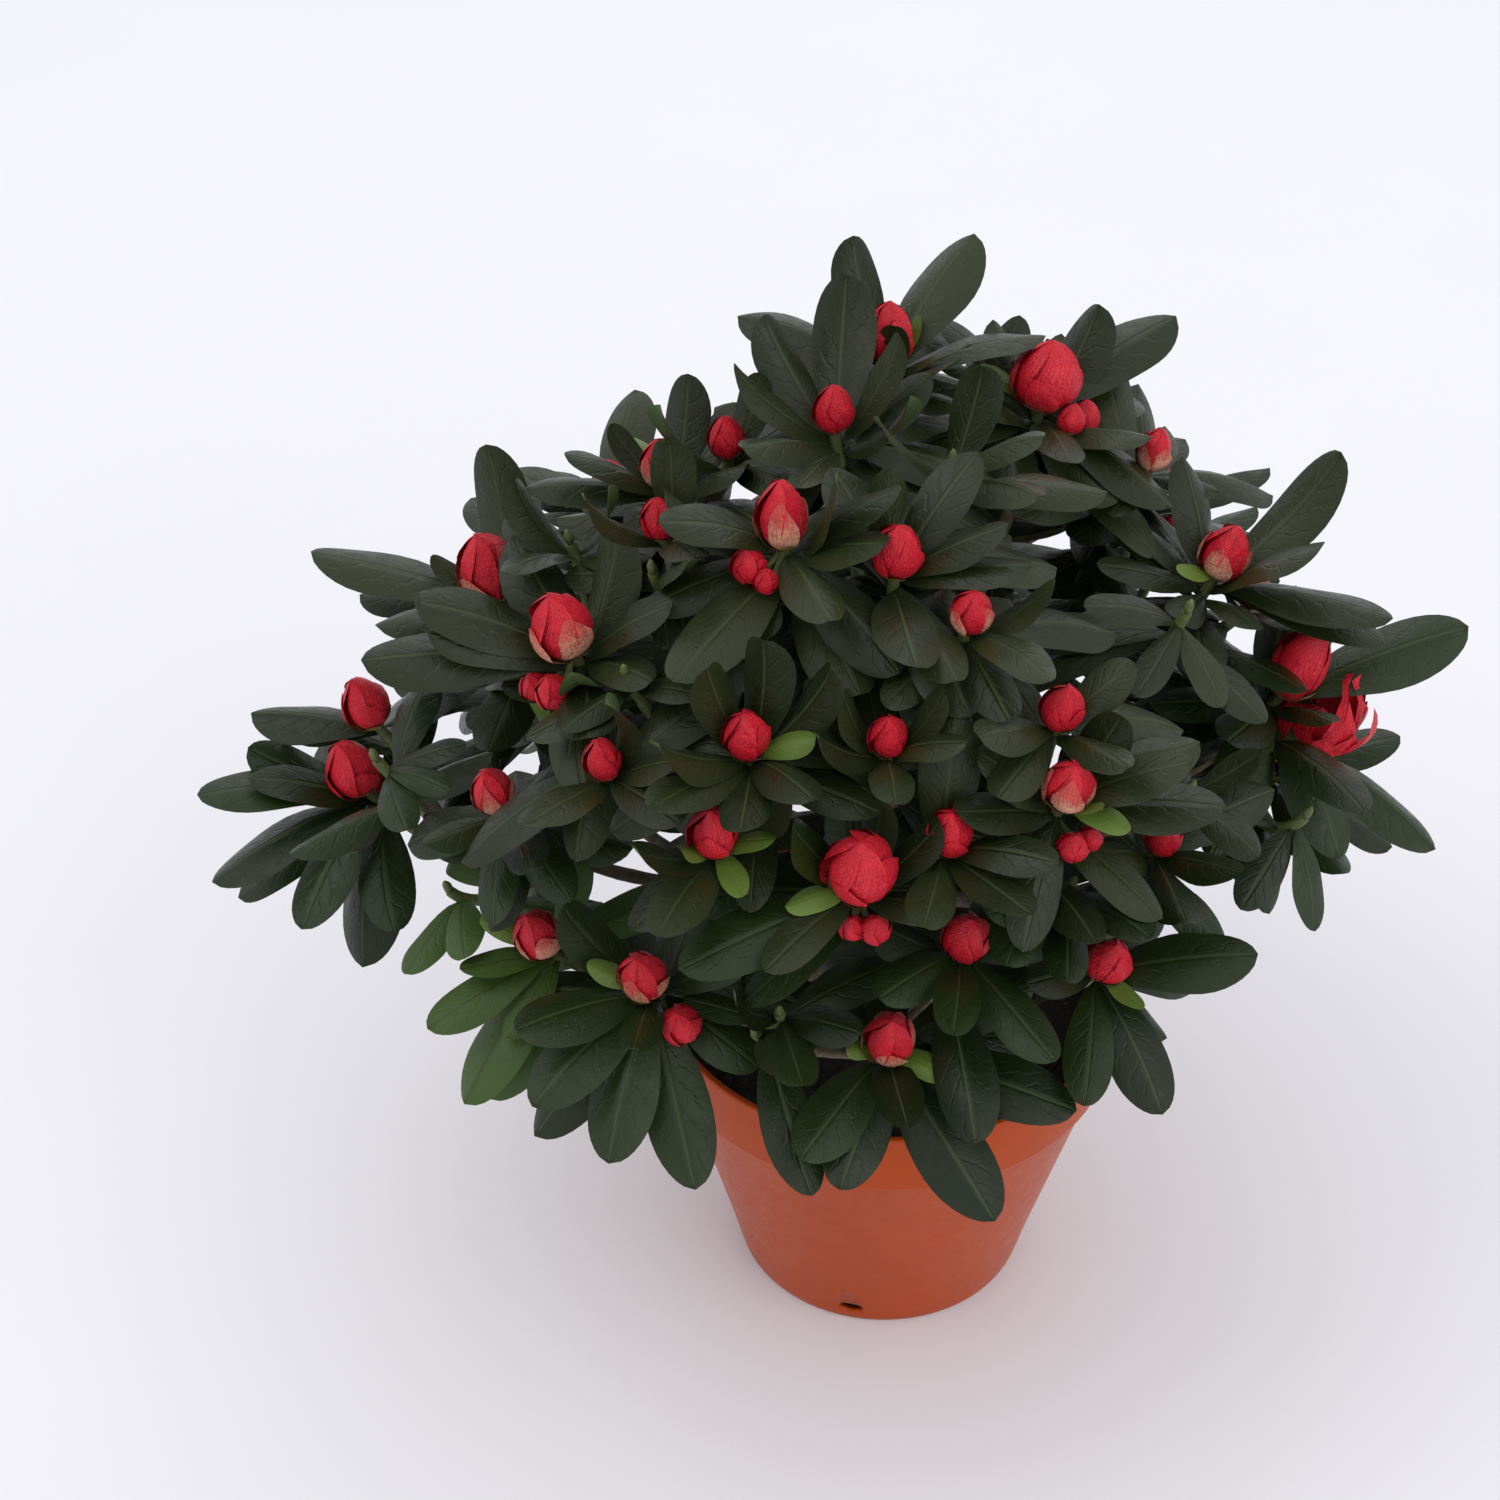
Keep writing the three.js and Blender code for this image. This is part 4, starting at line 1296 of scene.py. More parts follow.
# a shaft before each bud: it looks outwards, on the front half forwards too, and share of its full size
def clearBuds(share):
    for place in budPlaces:
        foot = place["foot"]
        toFront = min(1.0, max(0.0, 1 - foot[1] / clearing["frontDepth"]))
        outward = (1 - clearing["outwardLoss"] * toFront) * domeFrame(foot)[0]
        outlook = outward + toFront * clearing["budView"]
        start = foot + axesAt(foot)[0] * place["width"] * clearing["budMiddle"]
        start = start + clearing["budStart"] * unit(outlook)
        length = share * clearing["budLength"]
        keepClear(start, outlook, length, share * clearing["budRadius"] * place["width"])


clearBuds(clearing["nearShare"])
rimTurns = np.linspace(0, 2 * np.pi, rimProbe["points"])
rimPoints = np.array(
    [
        [potSize["rimRadius"] * math.cos(turn), potSize["rimRadius"] * math.sin(turn), height]
        for height in (rimProbe["foot"], potSize["height"])
        for turn in rimTurns
    ]
)
obstacles.add(rimPoints, treeOf(rimPoints, gridFaces(2, rimProbe["points"])), "pot")

probeFaces = {key: gridFaces(len(probe[key]), len(probe["across"])) for key in ("whole", "blade")}


# places a leaf the first way in which it meets nothing, or returns nothing
def settle(plan, root, axes, owner, ways):
    for rise, swing, shrink in ways:
        made = blade(plan, root, *axes, rise, swing, shrink)
        arrays = leafArrays([made])
        sets = {key: bladePoints(arrays, probe[key], probe["across"]).reshape(-1, 3) for key in probeFaces}
        trees = {key: treeOf(sets[key], probeFaces[key]) for key in probeFaces}
        if not obstacles.meets(sets["whole"], trees["whole"], trees["blade"], owner):
            obstacles.add(sets["whole"], trees["whole"], owner, trees["blade"])
            return made
    return None


# a few small bright leaves stand close under a bud, more of them low on the crown
def youngPlan(massIndex, number, height):
    wanted = youngRule["lowCount" if height < youngRule["lowBelow"] else "highCount"]
    plan = []
    for k in range(wanted):
        share = [chance(massIndex, number, youngRule["firstItem"] + k, use) for use in range(1, 9)]
        if share[0] < youngRule["missing"]:
            continue
        leaf = {"turn": 360 * share[1], "phase": wholeTurn * share[7]}
        for name, dealt in zip(("tilt", "length", "width", "below"), share[2:6]):
            leaf[name] = mix(*youngRule[name], dealt)
        plan.append({**leaf, **bendsOf("young", share[4:8])})
    return plan


leaves = {index: [] for index in range(len(masses))}
skipped = []


# settles a leaf and keeps it with its mass, or counts it as skipped; leaves whose foot is low in the
# crown, give or take a spread, are marked for the darker tones, which are painted shade
def keepLeaf(item, root, axes, shoot, ways):
    made = settle(item, root, axes, (shoot["mass"], shoot["number"]), ways)
    if made is None:
        skipped.append(item)
        return
    kept = leaves[shoot["mass"]]
    shift = leafRule["lowSpread"] * (chance(shoot["mass"], shoot["number"], len(kept), 3) - 0.5)
    made["young"] = item["length"] < nearRule["youngest"]
    made["fresh"] = (masses[shoot["mass"]][0], shoot["number"]) in freshShoots
    # a low leaf takes one of the darker tones, which are painted shade
    made["low"] = root[2] + shift < leafRule["lowBelow"]
    kept.append(made)


# reports how many leaves have found a place
def reportLeaves(kind):
    print(kind, sum(len(kept) for kept in leaves.values()), "placed,", len(skipped), "skipped")


# the point so far down a shoot from its tip, and how long the shoot is
def downFrom(line):
    samples = curvePoints(line, np.linspace(1, 0, twig["fineSamples"]))
    depth = np.concatenate([[0], np.cumsum(np.linalg.norm(np.diff(samples, axis=0), axis=1))])
    return lambda below: np.array([np.interp(below, depth, samples[:, i]) for i in range(3)]), depth[-1]


# the near leaves of each shoot, the young ones first, because they stand closest round the bud
for shoot in shoots:
    rootAt, longest = downFrom(shoot["line"])
    tip = shoot["line"][2]
    ways = nearLeaves.get((masses[shoot["mass"]][0], shoot["number"]), [])
    for k, way in enumerate(sorted(ways, key=lambda way: np.linalg.norm(way) >= nearRule["youngest"])):
        young = np.linalg.norm(way) < nearRule["youngest"]
        root = rootAt(nearRule["youngBelow"] if young else leafRule["firstBelow"] + nearRule["step"] * k)
        plan = nearPlan(shoot["mass"], shoot["number"], k, way, root, tip, axesAt(tip))
        keepLeaf(plan, root, axesAt(tip), shoot, probe["nearWays"])
reportLeaves("near leaves:")

clearBuds(1.0)
for x, y, z, radius in clearing["soil"]:
    keepClear(np.array([x, y, z], float), clearing["soilView"], clearing["soilLength"], float(radius))
for name, gaps in skyGaps.items():
    for right, upward, radius in gaps:
        middle = leadTip(massNamed(name)) + np.array([right, upward, 0.0]) @ sightAxes
        towards = unit(np.array(view["place"]) - middle)
        keepClear(middle - towards * clearing["skyLength"] / 2, towards, clearing["skyLength"], radius)

# the leaves that the rule gives, after young ones where a bud has no near leaves
for shoot in shoots:
    rootAt, longest = downFrom(shoot["line"])
    tip = shoot["line"][2]
    plan = leafPlan(shoot["mass"], shoot["number"], shoot["bud"], tip[2])
    if shoot["bud"] and (masses[shoot["mass"]][0], shoot["number"]) not in nearLeaves:
        plan = youngPlan(shoot["mass"], shoot["number"], tip[2]) + plan
    for item in plan:
        if item["below"] < longest - leafRule["leastLeft"]:
            keepLeaf(item, rootAt(item["below"]), axesAt(tip), shoot, probe["ways"])
reportLeaves("leaves:")


# closed leaves: the blade above, and below it two strips from the edges to a keel under the midrib;
# rows stand closer towards the tip, and each leaf takes one of two light tones, or, low in the crown, one of
# two darker tones that are painted shade
def leafMesh(kept, massIndex):
    rows, columns = bladeShape["rows"], len(bladeShape["columns"])
    t = np.linspace(0, 1, rows)
    even = bladeShape["evenRows"]
    s = even * t + (1 - even) * (1 - (1 - t) ** 2)
    u = np.array(bladeShape["columns"])
    count = len(kept)
    arrays = leafArrays(kept)
    upper = bladePoints(arrays, s, u)
    keel = upper[:, :, columns // 2 - 1 : columns // 2 + 1].mean(axis=2)
    keel = keel - bladeShape["thickness"] * arrays["normal"][:, None, :]
    points = np.concatenate([upper.reshape(count, -1, 3), keel], axis=1)
    top = gridFaces(rows, columns, poles=True)
    lower = np.empty((rows, 3), int)
    lower[:, 0] = np.arange(rows) * columns
    lower[:, 1] = rows * columns + np.arange(rows)
    lower[:, 2] = lower[:, 0] + columns - 1
    lower[[0, -1]] = lower[[0, -1], :1]
    bottom = lower.ravel()[gridFaces(rows, 3)][:, ::-1]
    starts = np.arange(count)[:, None, None] * points.shape[1]
    faces = (np.concatenate([top, bottom])[None] + starts).reshape(-1, 4)
    middle = np.tile(np.arange(columns - 1) == columns // 2 - 1, rows - 1)
    slots = []
    for leaf in kept:
        # leaves low in the crown take the two darker tones as painted shade
        tone = int(2 * chance(massIndex, len(slots), 3, 9)) + (2 if leaf["low"] else 0)
        special = "young" if leaf["young"] else "fresh" if leaf["fresh"] else None
        tone = leafSlots.get(special, tone)
        slots.append(np.where(middle, leafSlots["young" if leaf["young"] else "midrib"], tone))
        slots.append(np.full(len(bottom), leafSlots["under"]))
    across, along = np.meshgrid((u + 1) / 2, s)
    uv = np.stack([np.append(across, np.full(rows, 0.5)), np.append(along, s)], axis=-1)
    return points.reshape(-1, 3), faces, np.concatenate(slots), np.tile(uv, (count, 1))


for index, mass in enumerate(masses):
    points, faces, slots, uv = leafMesh(leaves[index], index)
    piece = addPiece(mass[0] + "_leaves", points, faces, leafMaterials, slots, uv, "foliage")
    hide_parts(mass[0])

# twigs: their grid, where brown wood turns green, and how scars and slow waves change their radius
twigSize = {
    "sides": 9,
    "steps": 42,
    "greenFrom": (0.3, 0.6),
    "scars": 14,
    "scarSpread": 0.02,
    "scarHeight": 0.1,
    "scarSide": 0.5,
    "scarTurn": 40,
    "waveHeight": 0.05,
    "waveRound": 3,
    "waveAlong": 9,
}


# knobbly young wood: slow waves round and along, and a low ring at each leaf scar, higher on one side
def twigRelief(t, angle):
    rings = np.exp(-(((t * twigSize["scars"]) % 1 - 0.5) ** 2) / twigSize["scarSpread"])
    waves = np.sin(twigSize["waveRound"] * angle + twigSize["waveAlong"] * t)
    oneSided = 1 + twigSize["scarSide"] * np.cos(angle - twigSize["scarTurn"] * t)
    return 1 + twigSize["waveHeight"] * waves + twigSize["scarHeight"] * rings * oneSided


pointSets, slotSets = [], []
sides, steps = twigSize["sides"], twigSize["steps"]
for shoot in shoots:
    pointSets.append(tubePoints(shoot["line"], taperOf(twig), sides, steps, twigRelief))
    greenFrom = int(steps * mix(*twigSize["greenFrom"], chance(shoot["mass"], shoot["number"], 7, 7)))
    slotSets.append(np.repeat(np.arange(steps + 2) > greenFrom, sides).astype(int))
for line in budStalks:
    pointSets.append(tubePoints(line, taperOf(stalk), sides, steps))
    slotSets.append(np.ones_like(slotSets[0]))
twigFaces = tubeFaces(sides, steps, len(pointSets))
twigWoods = [brownStem, greenStem]
addPiece("twigs", np.concatenate(pointSets), twigFaces, twigWoods, np.concatenate(slotSets), slot="bark")

# limbs: sides and steps of the trunk and the boughs, and the bark's fissures and swellings as shares
# of the radius
limbSize = {
    "trunk": (28, 90),
    "bough": (14, 48),
    "fissures": 0.09,
    "fissureLevel": 0.6,
    "fissureCount": 3.5,
    "wander": 2.2,
    "wanderAlong": 7,
    "swelling": 0.05,
    "swellingAlong": 11,
    "ripple": 0.6,
    "rippleAlong": 31,
}


# bark: long fissures that wander as they climb, the absolute value of a sine round it, over swellings
def barkRelief(t, angle):
    wander = limbSize["wander"] * np.sin(limbSize["wanderAlong"] * t + angle)
    fissures = np.abs(np.sin(limbSize["fissureCount"] * angle + wander))
    ripple = limbSize["ripple"] * np.sin(limbSize["rippleAlong"] * t + 2 * angle)
    swelling = np.sin(2 * angle - limbSize["swellingAlong"] * t) + ripple
    deep = limbSize["fissures"] * (fissures - limbSize["fissureLevel"])
    return 1 + deep + limbSize["swelling"] * swelling


trunkLine = stretch(trunkCorners, 0, trunkShare(trunk["height"]))


# the trunk's radius along its line, read at each point's height
def trunkRadiusAlong(t):
    return trunkRadius(curvePoints(trunkLine, t)[:, 2])


limbSets = [tubePoints(trunkLine, trunkRadiusAlong, *limbSize["trunk"], barkRelief)]
limbFaces = [tubeFaces(*limbSize["trunk"])]
start = len(limbSets[0])
for line in boughPaths.values():
    points = tubePoints(stretch(line, 0, bough["share"]), taperOf(bough), *limbSize["bough"], barkRelief)
    limbSets.append(points)
    limbFaces.append(tubeFaces(*limbSize["bough"]) + start)
    start += len(points)
limbs = addPiece("limbs", np.concatenate(limbSets), np.concatenate(limbFaces), [bark], slot="bark")
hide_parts("trunk", *["bough_" + name for name in boughPaths])
print("limbs:", len(boughPaths), "boughs")

# petals: their grid, and how a petal narrows as it climbs, laps over the next, tucks its first edge in,
# opens its lip, flares, ruffles, is squashed by its flare, and stands off the axis at the least
petalSize = {
    "rows": 10,
    "columns": 7,
    "narrows": 0.25,
    "lap": 0.17,
    "tuck": 0.06,
    "tuckPower": 6,
    "lipPower": 4,
    "flarePower": 1.4,
    "ruffles": 14,
    "ruffleTurn": 5,
    "edgeWaves": 11,
    "squash": 0.2,
    "least": 0.015,
}

# the kinds of petals: how many, how far each wraps round in radians, the range of its height as a share
# of the bud's, how much its corners are cut, how proud it stands, how it winds, and its lip
petalNames = ("count", "wrap", "top", "cut", "proud", "wind", "lip")
petalTable = {
    "inner": (5, 1.85, (1.0, 1.0), 0.0, 0.0, 0.9, 0.16),
    "outer": (4, 1.5, (0.55, 0.9), 0.4, 0.14, 0.15, 0.05),
    "scale": (5, 1.3, (0.2, 0.3), 0.6, 0.2, 0.0, 0.0),
    "frill": (6, 0.75, (0.7, 1.1), 0.4, 0.08, 0.35, 0.25),
}
petalKinds = {kind: dict(zip(petalNames, row)) for kind, row in petalTable.items()}
petalSets = {"inner": [], "outer": [], "scale": []}

# masses with pale outer petals on their leading bud (0) or on their first side bud (1)
paleBuds = {
    0: [
        "left_shoulder", "high_front", "skirt_left", "right_shoulder", "mid_right", "skirt_front",
        "left_flank", "upper_left", "top_left", "back_left", "back_high", "back_skirt_right",
    ],
    1: ["skirt_left", "high_right", "top_right", "back_middle"],
}


# one petal over a (edge to edge) and t (foot to top): it wraps the bud's outline, its first edge is
# tucked in, its last edge stands proud with a lip that opens upwards, and it winds as it climbs; flare
# leans it outwards and frill waves its edge
def petalPoints(place, turn, kind, top, proud, flare=0.0, frill=0.0):
    tip, width = place["foot"], place["width"]
    axis, east, north = axesAt(tip)
    a = np.linspace(0, 1, petalSize["columns"])[None, :]
    reach = top * (1 - kind["cut"] * np.abs(2 * a - 1) ** 2)
    t = np.linspace(0, 1, petalSize["rows"])[:, None] * reach
    angle = turn + (a - 0.5) * kind["wrap"] * (1 - petalSize["narrows"] * t**2) + kind["wind"] * t**2
    lap = 1 + proud + petalSize["lap"] * (a - 0.5) + kind["lip"] * a ** petalSize["lipPower"] * t
    lap = lap - petalSize["tuck"] * (1 - a) ** petalSize["tuckPower"]
    ruffle = frill * np.sin(petalSize["ruffles"] * a + petalSize["ruffleTurn"] * turn) * t**2
    outward = budHalf(t) * lap + flare * t ** petalSize["flarePower"] + ruffle + petalSize["least"]
    radius = 0.5 * width * outward
    height = (t - budShape["sunk"]) * width * place["tall"] * (1 - petalSize["squash"] * flare)
    height = height + frill * width * np.cos(petalSize["edgeWaves"] * a + turn) * t**3
    points = tip + height[..., None] * axis
    points = points + (radius * np.cos(angle))[..., None] * east + (radius * np.sin(angle))[..., None] * north
    uv = np.stack(np.broadcast_arrays(a, t), axis=-1)
    return points.reshape(-1, 3), uv.reshape(-1, 2)


# how unevenly petals stand: in their turn, and the least and the most in how proud they are
uneven = {"turn": 0.5, "proud": (-0.04, 0.05)}


# a closed bud: wound petals over a heart that is darkened as painted shade, shorter ones round its foot
# that are pale on most buds, and scales below
def addBud(place):
    seed = place["seed"]
    spin = wholeTurn * chance(seed, 1, 5, 3)
    name, number = place["shoot"]
    pale = name in paleBuds.get(number, [])
    for layer in petalSets:
        kind = petalKinds[layer]
        kept = petalSets["inner" if layer == "outer" and not pale else layer]
        for k in range(kind["count"]):
            turn = spin + k * 2 * math.pi / kind["count"] + uneven["turn"] * (chance(seed, k, 6, 4) - 0.5)
            top = mix(*kind["top"], chance(seed, k, 7, 5))
            proud = kind["proud"] + mix(*uneven["proud"], chance(seed, k, 8, 6))
            kept.append(petalPoints(place, turn, kind, top, proud))


# the half-open flower: the shoot it stands on, its width and its heart's against a bud's, and how its
# rings of petals turn, shorten, lean out and ruffle
openFlower = {
    "shoot": ("right_arm", 1),
    "spread": 1.25,
    "core": 0.5,
    "rings": 3,
    "ringTurn": 0.35,
    "turn": 0.3,
    "ringDrop": 0.06,
    "lean": (0.0, 0.6),
    "ringLean": 0.35,
    "ruffle": 0.09,
}


# a half-open double flower: three rings of narrow frilled petals that lean out round a bud's heart
def addFrills(place):
    seed = place["seed"]
    kind = petalKinds["frill"]
    for k in range(openFlower["rings"] * kind["count"]):
        ring = k // kind["count"]
        turn = k * 2 * math.pi / kind["count"] + openFlower["ringTurn"] * ring
        turn = turn + openFlower["turn"] * chance(seed, k, 5, 3)
        top = mix(*kind["top"], chance(seed, k, 8, 6)) - openFlower["ringDrop"] * ring
        flare = mix(*openFlower["lean"], chance(seed, k, 9, 7)) + openFlower["ringLean"] * ring
        frill = petalPoints(place, turn, kind, top, kind["proud"], flare, openFlower["ruffle"])
        petalSets["inner"].append(frill)


for place in budPlaces:
    if place["shoot"] == openFlower["shoot"]:
        place["width"] *= openFlower["spread"]
        addFrills(place)
        place["width"] *= openFlower["core"]
    addBud(place)

budPieces = {
    "inner": ("petals", petal),
    "outer": ("outer_petals", palePetal),
    "scale": ("bud_scales", budScale),
}
for kind, (name, material) in budPieces.items():
    points = np.concatenate([made[0] for made in petalSets[kind]])
    uv = np.concatenate([made[1] for made in petalSets[kind]])
    faces = gridFaces(petalSize["rows"], petalSize["columns"], len(petalSets[kind]))
    addPiece(name, points, faces, [material], uv=uv, slot="foliage")

# closed hulls: a heart in each bud, a share of its width and near-black as painted shade, and a green
# leaf bud on each bare shoot
hullSize = {"shadedHeart": 0.84, "shadedHeartGrid": (10, 12), "leafBud": (2.4, 2.1), "leafBudGrid": (8, 8)}


# one mesh of many hulls of the same rows and columns
def addHulls(name, hulls, grid, material):
    faces = gridFaces(*grid, len(hulls), closed=True, poles=True)
    addPiece(name, np.concatenate(hulls), faces, [material], slot="foliage")


# each heart is near-black as painted shade in the seams between the petals
shadedHearts = [
    budHull(place["foot"], hullSize["shadedHeart"] * place["width"], place["tall"], *hullSize["shadedHeartGrid"])
    for place in budPlaces
]
addHulls("bud_shaded_hearts", shadedHearts, hullSize["shadedHeartGrid"], shadedHeart)
leafBuds = [
    budHull(shoot["line"][2], *hullSize["leafBud"], *hullSize["leafBudGrid"])
    for shoot in shoots
    if not shoot["bud"]
]
addHulls("leaf_buds", leafBuds, hullSize["leafBudGrid"], greenStem)
print("buds:", len(budPlaces))

# the pot's finer sizes: grooveRadii run outwards over the groove of the foot ring, and footEdge says how
# far the foot lies inside the base's radius and its bevel outside it, and how high the bevel is
potDetail = {
    "sides": 144,
    "bend": 1.1,
    "bendShare": 0.45,
    "lip": 2.0,
    "floor": 3.0,
    "foot": 1.6,
    "grooveRadii": (24.0, 25.0, 33.0, 34.0),
    "grooveDepth": 1.2,
    "footEdge": (0.2, 0.5, 2.2),
    "ringHeight": 14.0,
    "innerRing": 16.0,
    "holes": 4,
    "holeTurn": -13.0,
    "holeHeight": 6.0,
    "holeWidth": 6.6,
    "holeTall": 4.0,
    "pegSides": 32,
    "pegDepths": (34.0, 46.0),
}


# a closed profile turned round the upright axis: one ring of points for each corner of the profile
def turnedPoints(profile, sides):
    angle = np.linspace(0, 2 * np.pi, sides, endpoint=False)
    radius, height = np.array(profile).T
    return np.stack(
        [
            radius[:, None] * np.sin(angle),
            -radius[:, None] * np.cos(angle),
            height[:, None] * np.ones(sides),
        ],
        axis=-1,
    ).reshape(-1, 3)


# a profile with each inner corner rounded: a quadratic curve of five points, from one side's point as
# far as radius from the corner to the other side's, but no further than nearly half of either side
def roundedProfile(corners, radius):
    corners = np.array(corners, float)
    made = [corners[0]]
    for before, here, after in zip(corners[:-2], corners[1:-1], corners[2:]):
        back = min(radius, potDetail["bendShare"] * np.linalg.norm(before - here))
        ahead = min(radius, potDetail["bendShare"] * np.linalg.norm(after - here))
        start = here + unit(before - here) * back
        end = here + unit(after - here) * ahead
        for t in (0.0, 0.25, 0.5, 0.75, 1.0):
            made.append(start * (1 - t) ** 2 + here * 2 * t * (1 - t) + end * t**2)
    made.append(corners[-1])
    return np.array(made)


bandFoot = potSize["height"] - potSize["bandHeight"]
slope = (potSize["bodyTopRadius"] - potSize["baseRadius"]) / (bandFoot - potDetail["foot"])


# the radius of the wall's inside: the outside's even slope, less the wall
def innerRadius(height):
    return potSize["baseRadius"] + slope * (height - potDetail["foot"]) - potSize["wall"]


grooveStart, grooveTop, grooveBack, grooveEnd = potDetail["grooveRadii"]
footInset, footOutset, footHeight = potDetail["footEdge"]
potCorners = [
    (0.0, 0.0),
    (grooveStart, 0.0),
    (grooveTop, potDetail["grooveDepth"]),
    (grooveBack, potDetail["grooveDepth"]),
    (grooveEnd, 0.0),
    (potSize["baseRadius"] - footInset, 0.0),
    (potSize["baseRadius"] + footOutset, footHeight),
    (potSize["baseRadius"] + slope * potDetail["ringHeight"], potDetail["ringHeight"] + potDetail["foot"]),
    (potSize["bodyTopRadius"], bandFoot),
    (potSize["bandFootRadius"], bandFoot),
    (potSize["rimRadius"], potSize["height"]),
    (potSize["rimRadius"] - potDetail["lip"], potSize["height"]),
    (potSize["bandFootRadius"] - potSize["wall"], bandFoot + potSize["wall"]),
    (innerRadius(bandFoot), bandFoot + potSize["wall"]),
    (innerRadius(potDetail["innerRing"]), potDetail["innerRing"]),
    (innerRadius(potDetail["floor"]), potDetail["floor"]),
    (0.0, potDetail["floor"]),
]
potProfile = roundedProfile(potCorners, potDetail["bend"])
potPoints = turnedPoints(potProfile, potDetail["sides"])
potFaces = gridFaces(len(potProfile), potDetail["sides"], closed=True, poles=True)
plastic = potMaterial()
pot = addPiece("pot_shell", potPoints, potFaces, [plastic], slot="pot")
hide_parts("pot")


# an oval peg that points outwards through the wall: two rings of half the hole's width and height, one
# inside the wall and one outside it, each closed by a flat cap
def pegPoints(turn):
    turn = math.radians(turn)
    outward = np.array([math.sin(turn), -math.cos(turn), 0.0])
    sideways = np.array([math.cos(turn), math.sin(turn), 0.0])
    angle = np.linspace(0, 2 * np.pi, potDetail["pegSides"], endpoint=False)[None, :, None]
    depth = np.repeat(potDetail["pegDepths"], 2)[:, None, None]
    swell = np.array([0.0, 1.0, 1.0, 0.0])[:, None, None]
    ring = np.cos(angle) * sideways * potDetail["holeWidth"] / 2
    ring = ring + np.sin(angle) * up * potDetail["holeTall"] / 2
    return (depth * outward + up * potDetail["holeHeight"] + swell * ring).reshape(-1, 3)


pegs = [pegPoints(potDetail["holeTurn"] + k * 360 / potDetail["holes"]) for k in range(potDetail["holes"])]
pegFaces = gridFaces(4, potDetail["pegSides"], len(pegs), closed=True, poles=True)
cutter = addPiece("drain_pegs", np.concatenate(pegs), pegFaces, [plastic])
cut = pot.modifiers.new("drain holes", "BOOLEAN")
cut.object = cutter
cut.solver = "EXACT"
drained = bpy.data.meshes.new_from_object(pot.evaluated_get(bpy.context.evaluated_depsgraph_get()))
pot.modifiers.clear()
pot.data = drained
bpy.data.objects.remove(cutter)

# soil: its grid, its gap to the wall and under the ball's top, its foot, and its lumps: the number of
# waves, their lengths, how their heights grow with length, and the whole's share
soilSize = {
    "rings": 70,
    "sides": 180,
    "firstRing": 1.5,
    "gap": 0.6,
    "lowered": 0.8,
    "foot": 4.0,
    "lump": 1.6,
    "waves": 24,
    "lengths": (1.6, 14.0),
    "heightPower": 0.7,
    "waveTotal": 5.0,
}


# crumbly height over the soil: sums of crossed sine waves whose directions and phases are dealt out
def crumble(x, y):
    total = np.zeros_like(x)
    for k in range(soilSize["waves"]):
        direction = wholeTurn * chance(k, 2, 1, 1)
        length = mix(*soilSize["lengths"], chance(k, 3, 1, 2) ** 2)
        phase = wholeTurn * chance(k, 4, 1, 3)
        along = x * math.cos(direction) + y * math.sin(direction)
        wave = np.sin(along * wholeTurn / length + phase)
        total = total + wave * (length / soilSize["lengths"][1]) ** soilSize["heightPower"]
    return total / soilSize["waveTotal"]


# the soil's height at a point: a dome from its middle to its edge, with half the lumps' height over it
def soilHeight(x, y, radius):
    dome = mix(rootBall["top"], rootBall["edgeTop"], radius / wallRadius) - soilSize["lowered"]
    return dome + soilSize["lump"] * 0.5 * crumble(x, y)


wallRadius = innerRadius(bandFoot) - soilSize["gap"]
outerRings = np.linspace(soilSize["firstRing"], wallRadius, soilSize["rings"] - 1)
ringRadii = np.concatenate([[0.0], outerRings])[:, None]
angles = np.linspace(0, 2 * np.pi, soilSize["sides"], endpoint=False)
soilX = ringRadii * np.sin(angles)
soilY = -ringRadii * np.cos(angles)
topRings = np.stack([soilX, soilY, soilHeight(soilX, soilY, ringRadii)], axis=-1).reshape(-1, 3)
soilFoot = soilSize["foot"]
footRadius = innerRadius(soilFoot) - soilSize["gap"]
sideProfile = [(wallRadius, bandFoot), (footRadius, soilFoot), (0.0, soilFoot)]
soilPoints = np.concatenate([topRings, turnedPoints(sideProfile, soilSize["sides"])])
soilRows = soilSize["rings"] + len(sideProfile)
soilFaces = gridFaces(soilRows, soilSize["sides"], closed=True, poles=True)[:, ::-1]
peat = mottledMaterial("peat", (0.006, 0.0045, 0.0035), (0.03, 0.021, 0.015), **soilLook)
soil = addPiece("soil", soilPoints, soilFaces, [peat], slot="soil")
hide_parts("root_ball")

# crumbs: how many, their grid, their sizes, the pale ones' share and size, and how they are squashed
crumbSize = {
    "count": 420,
    "rows": 7,
    "columns": 8,
    "inset": 4,
    "size": (0.5, 2.4),
    "paleAbove": 0.95,
    "paleSize": 0.6,
    "bumps": (0.22, 0.12),
    "deep": (0.6, 1.2),
    "tall": (0.5, 0.9),
}


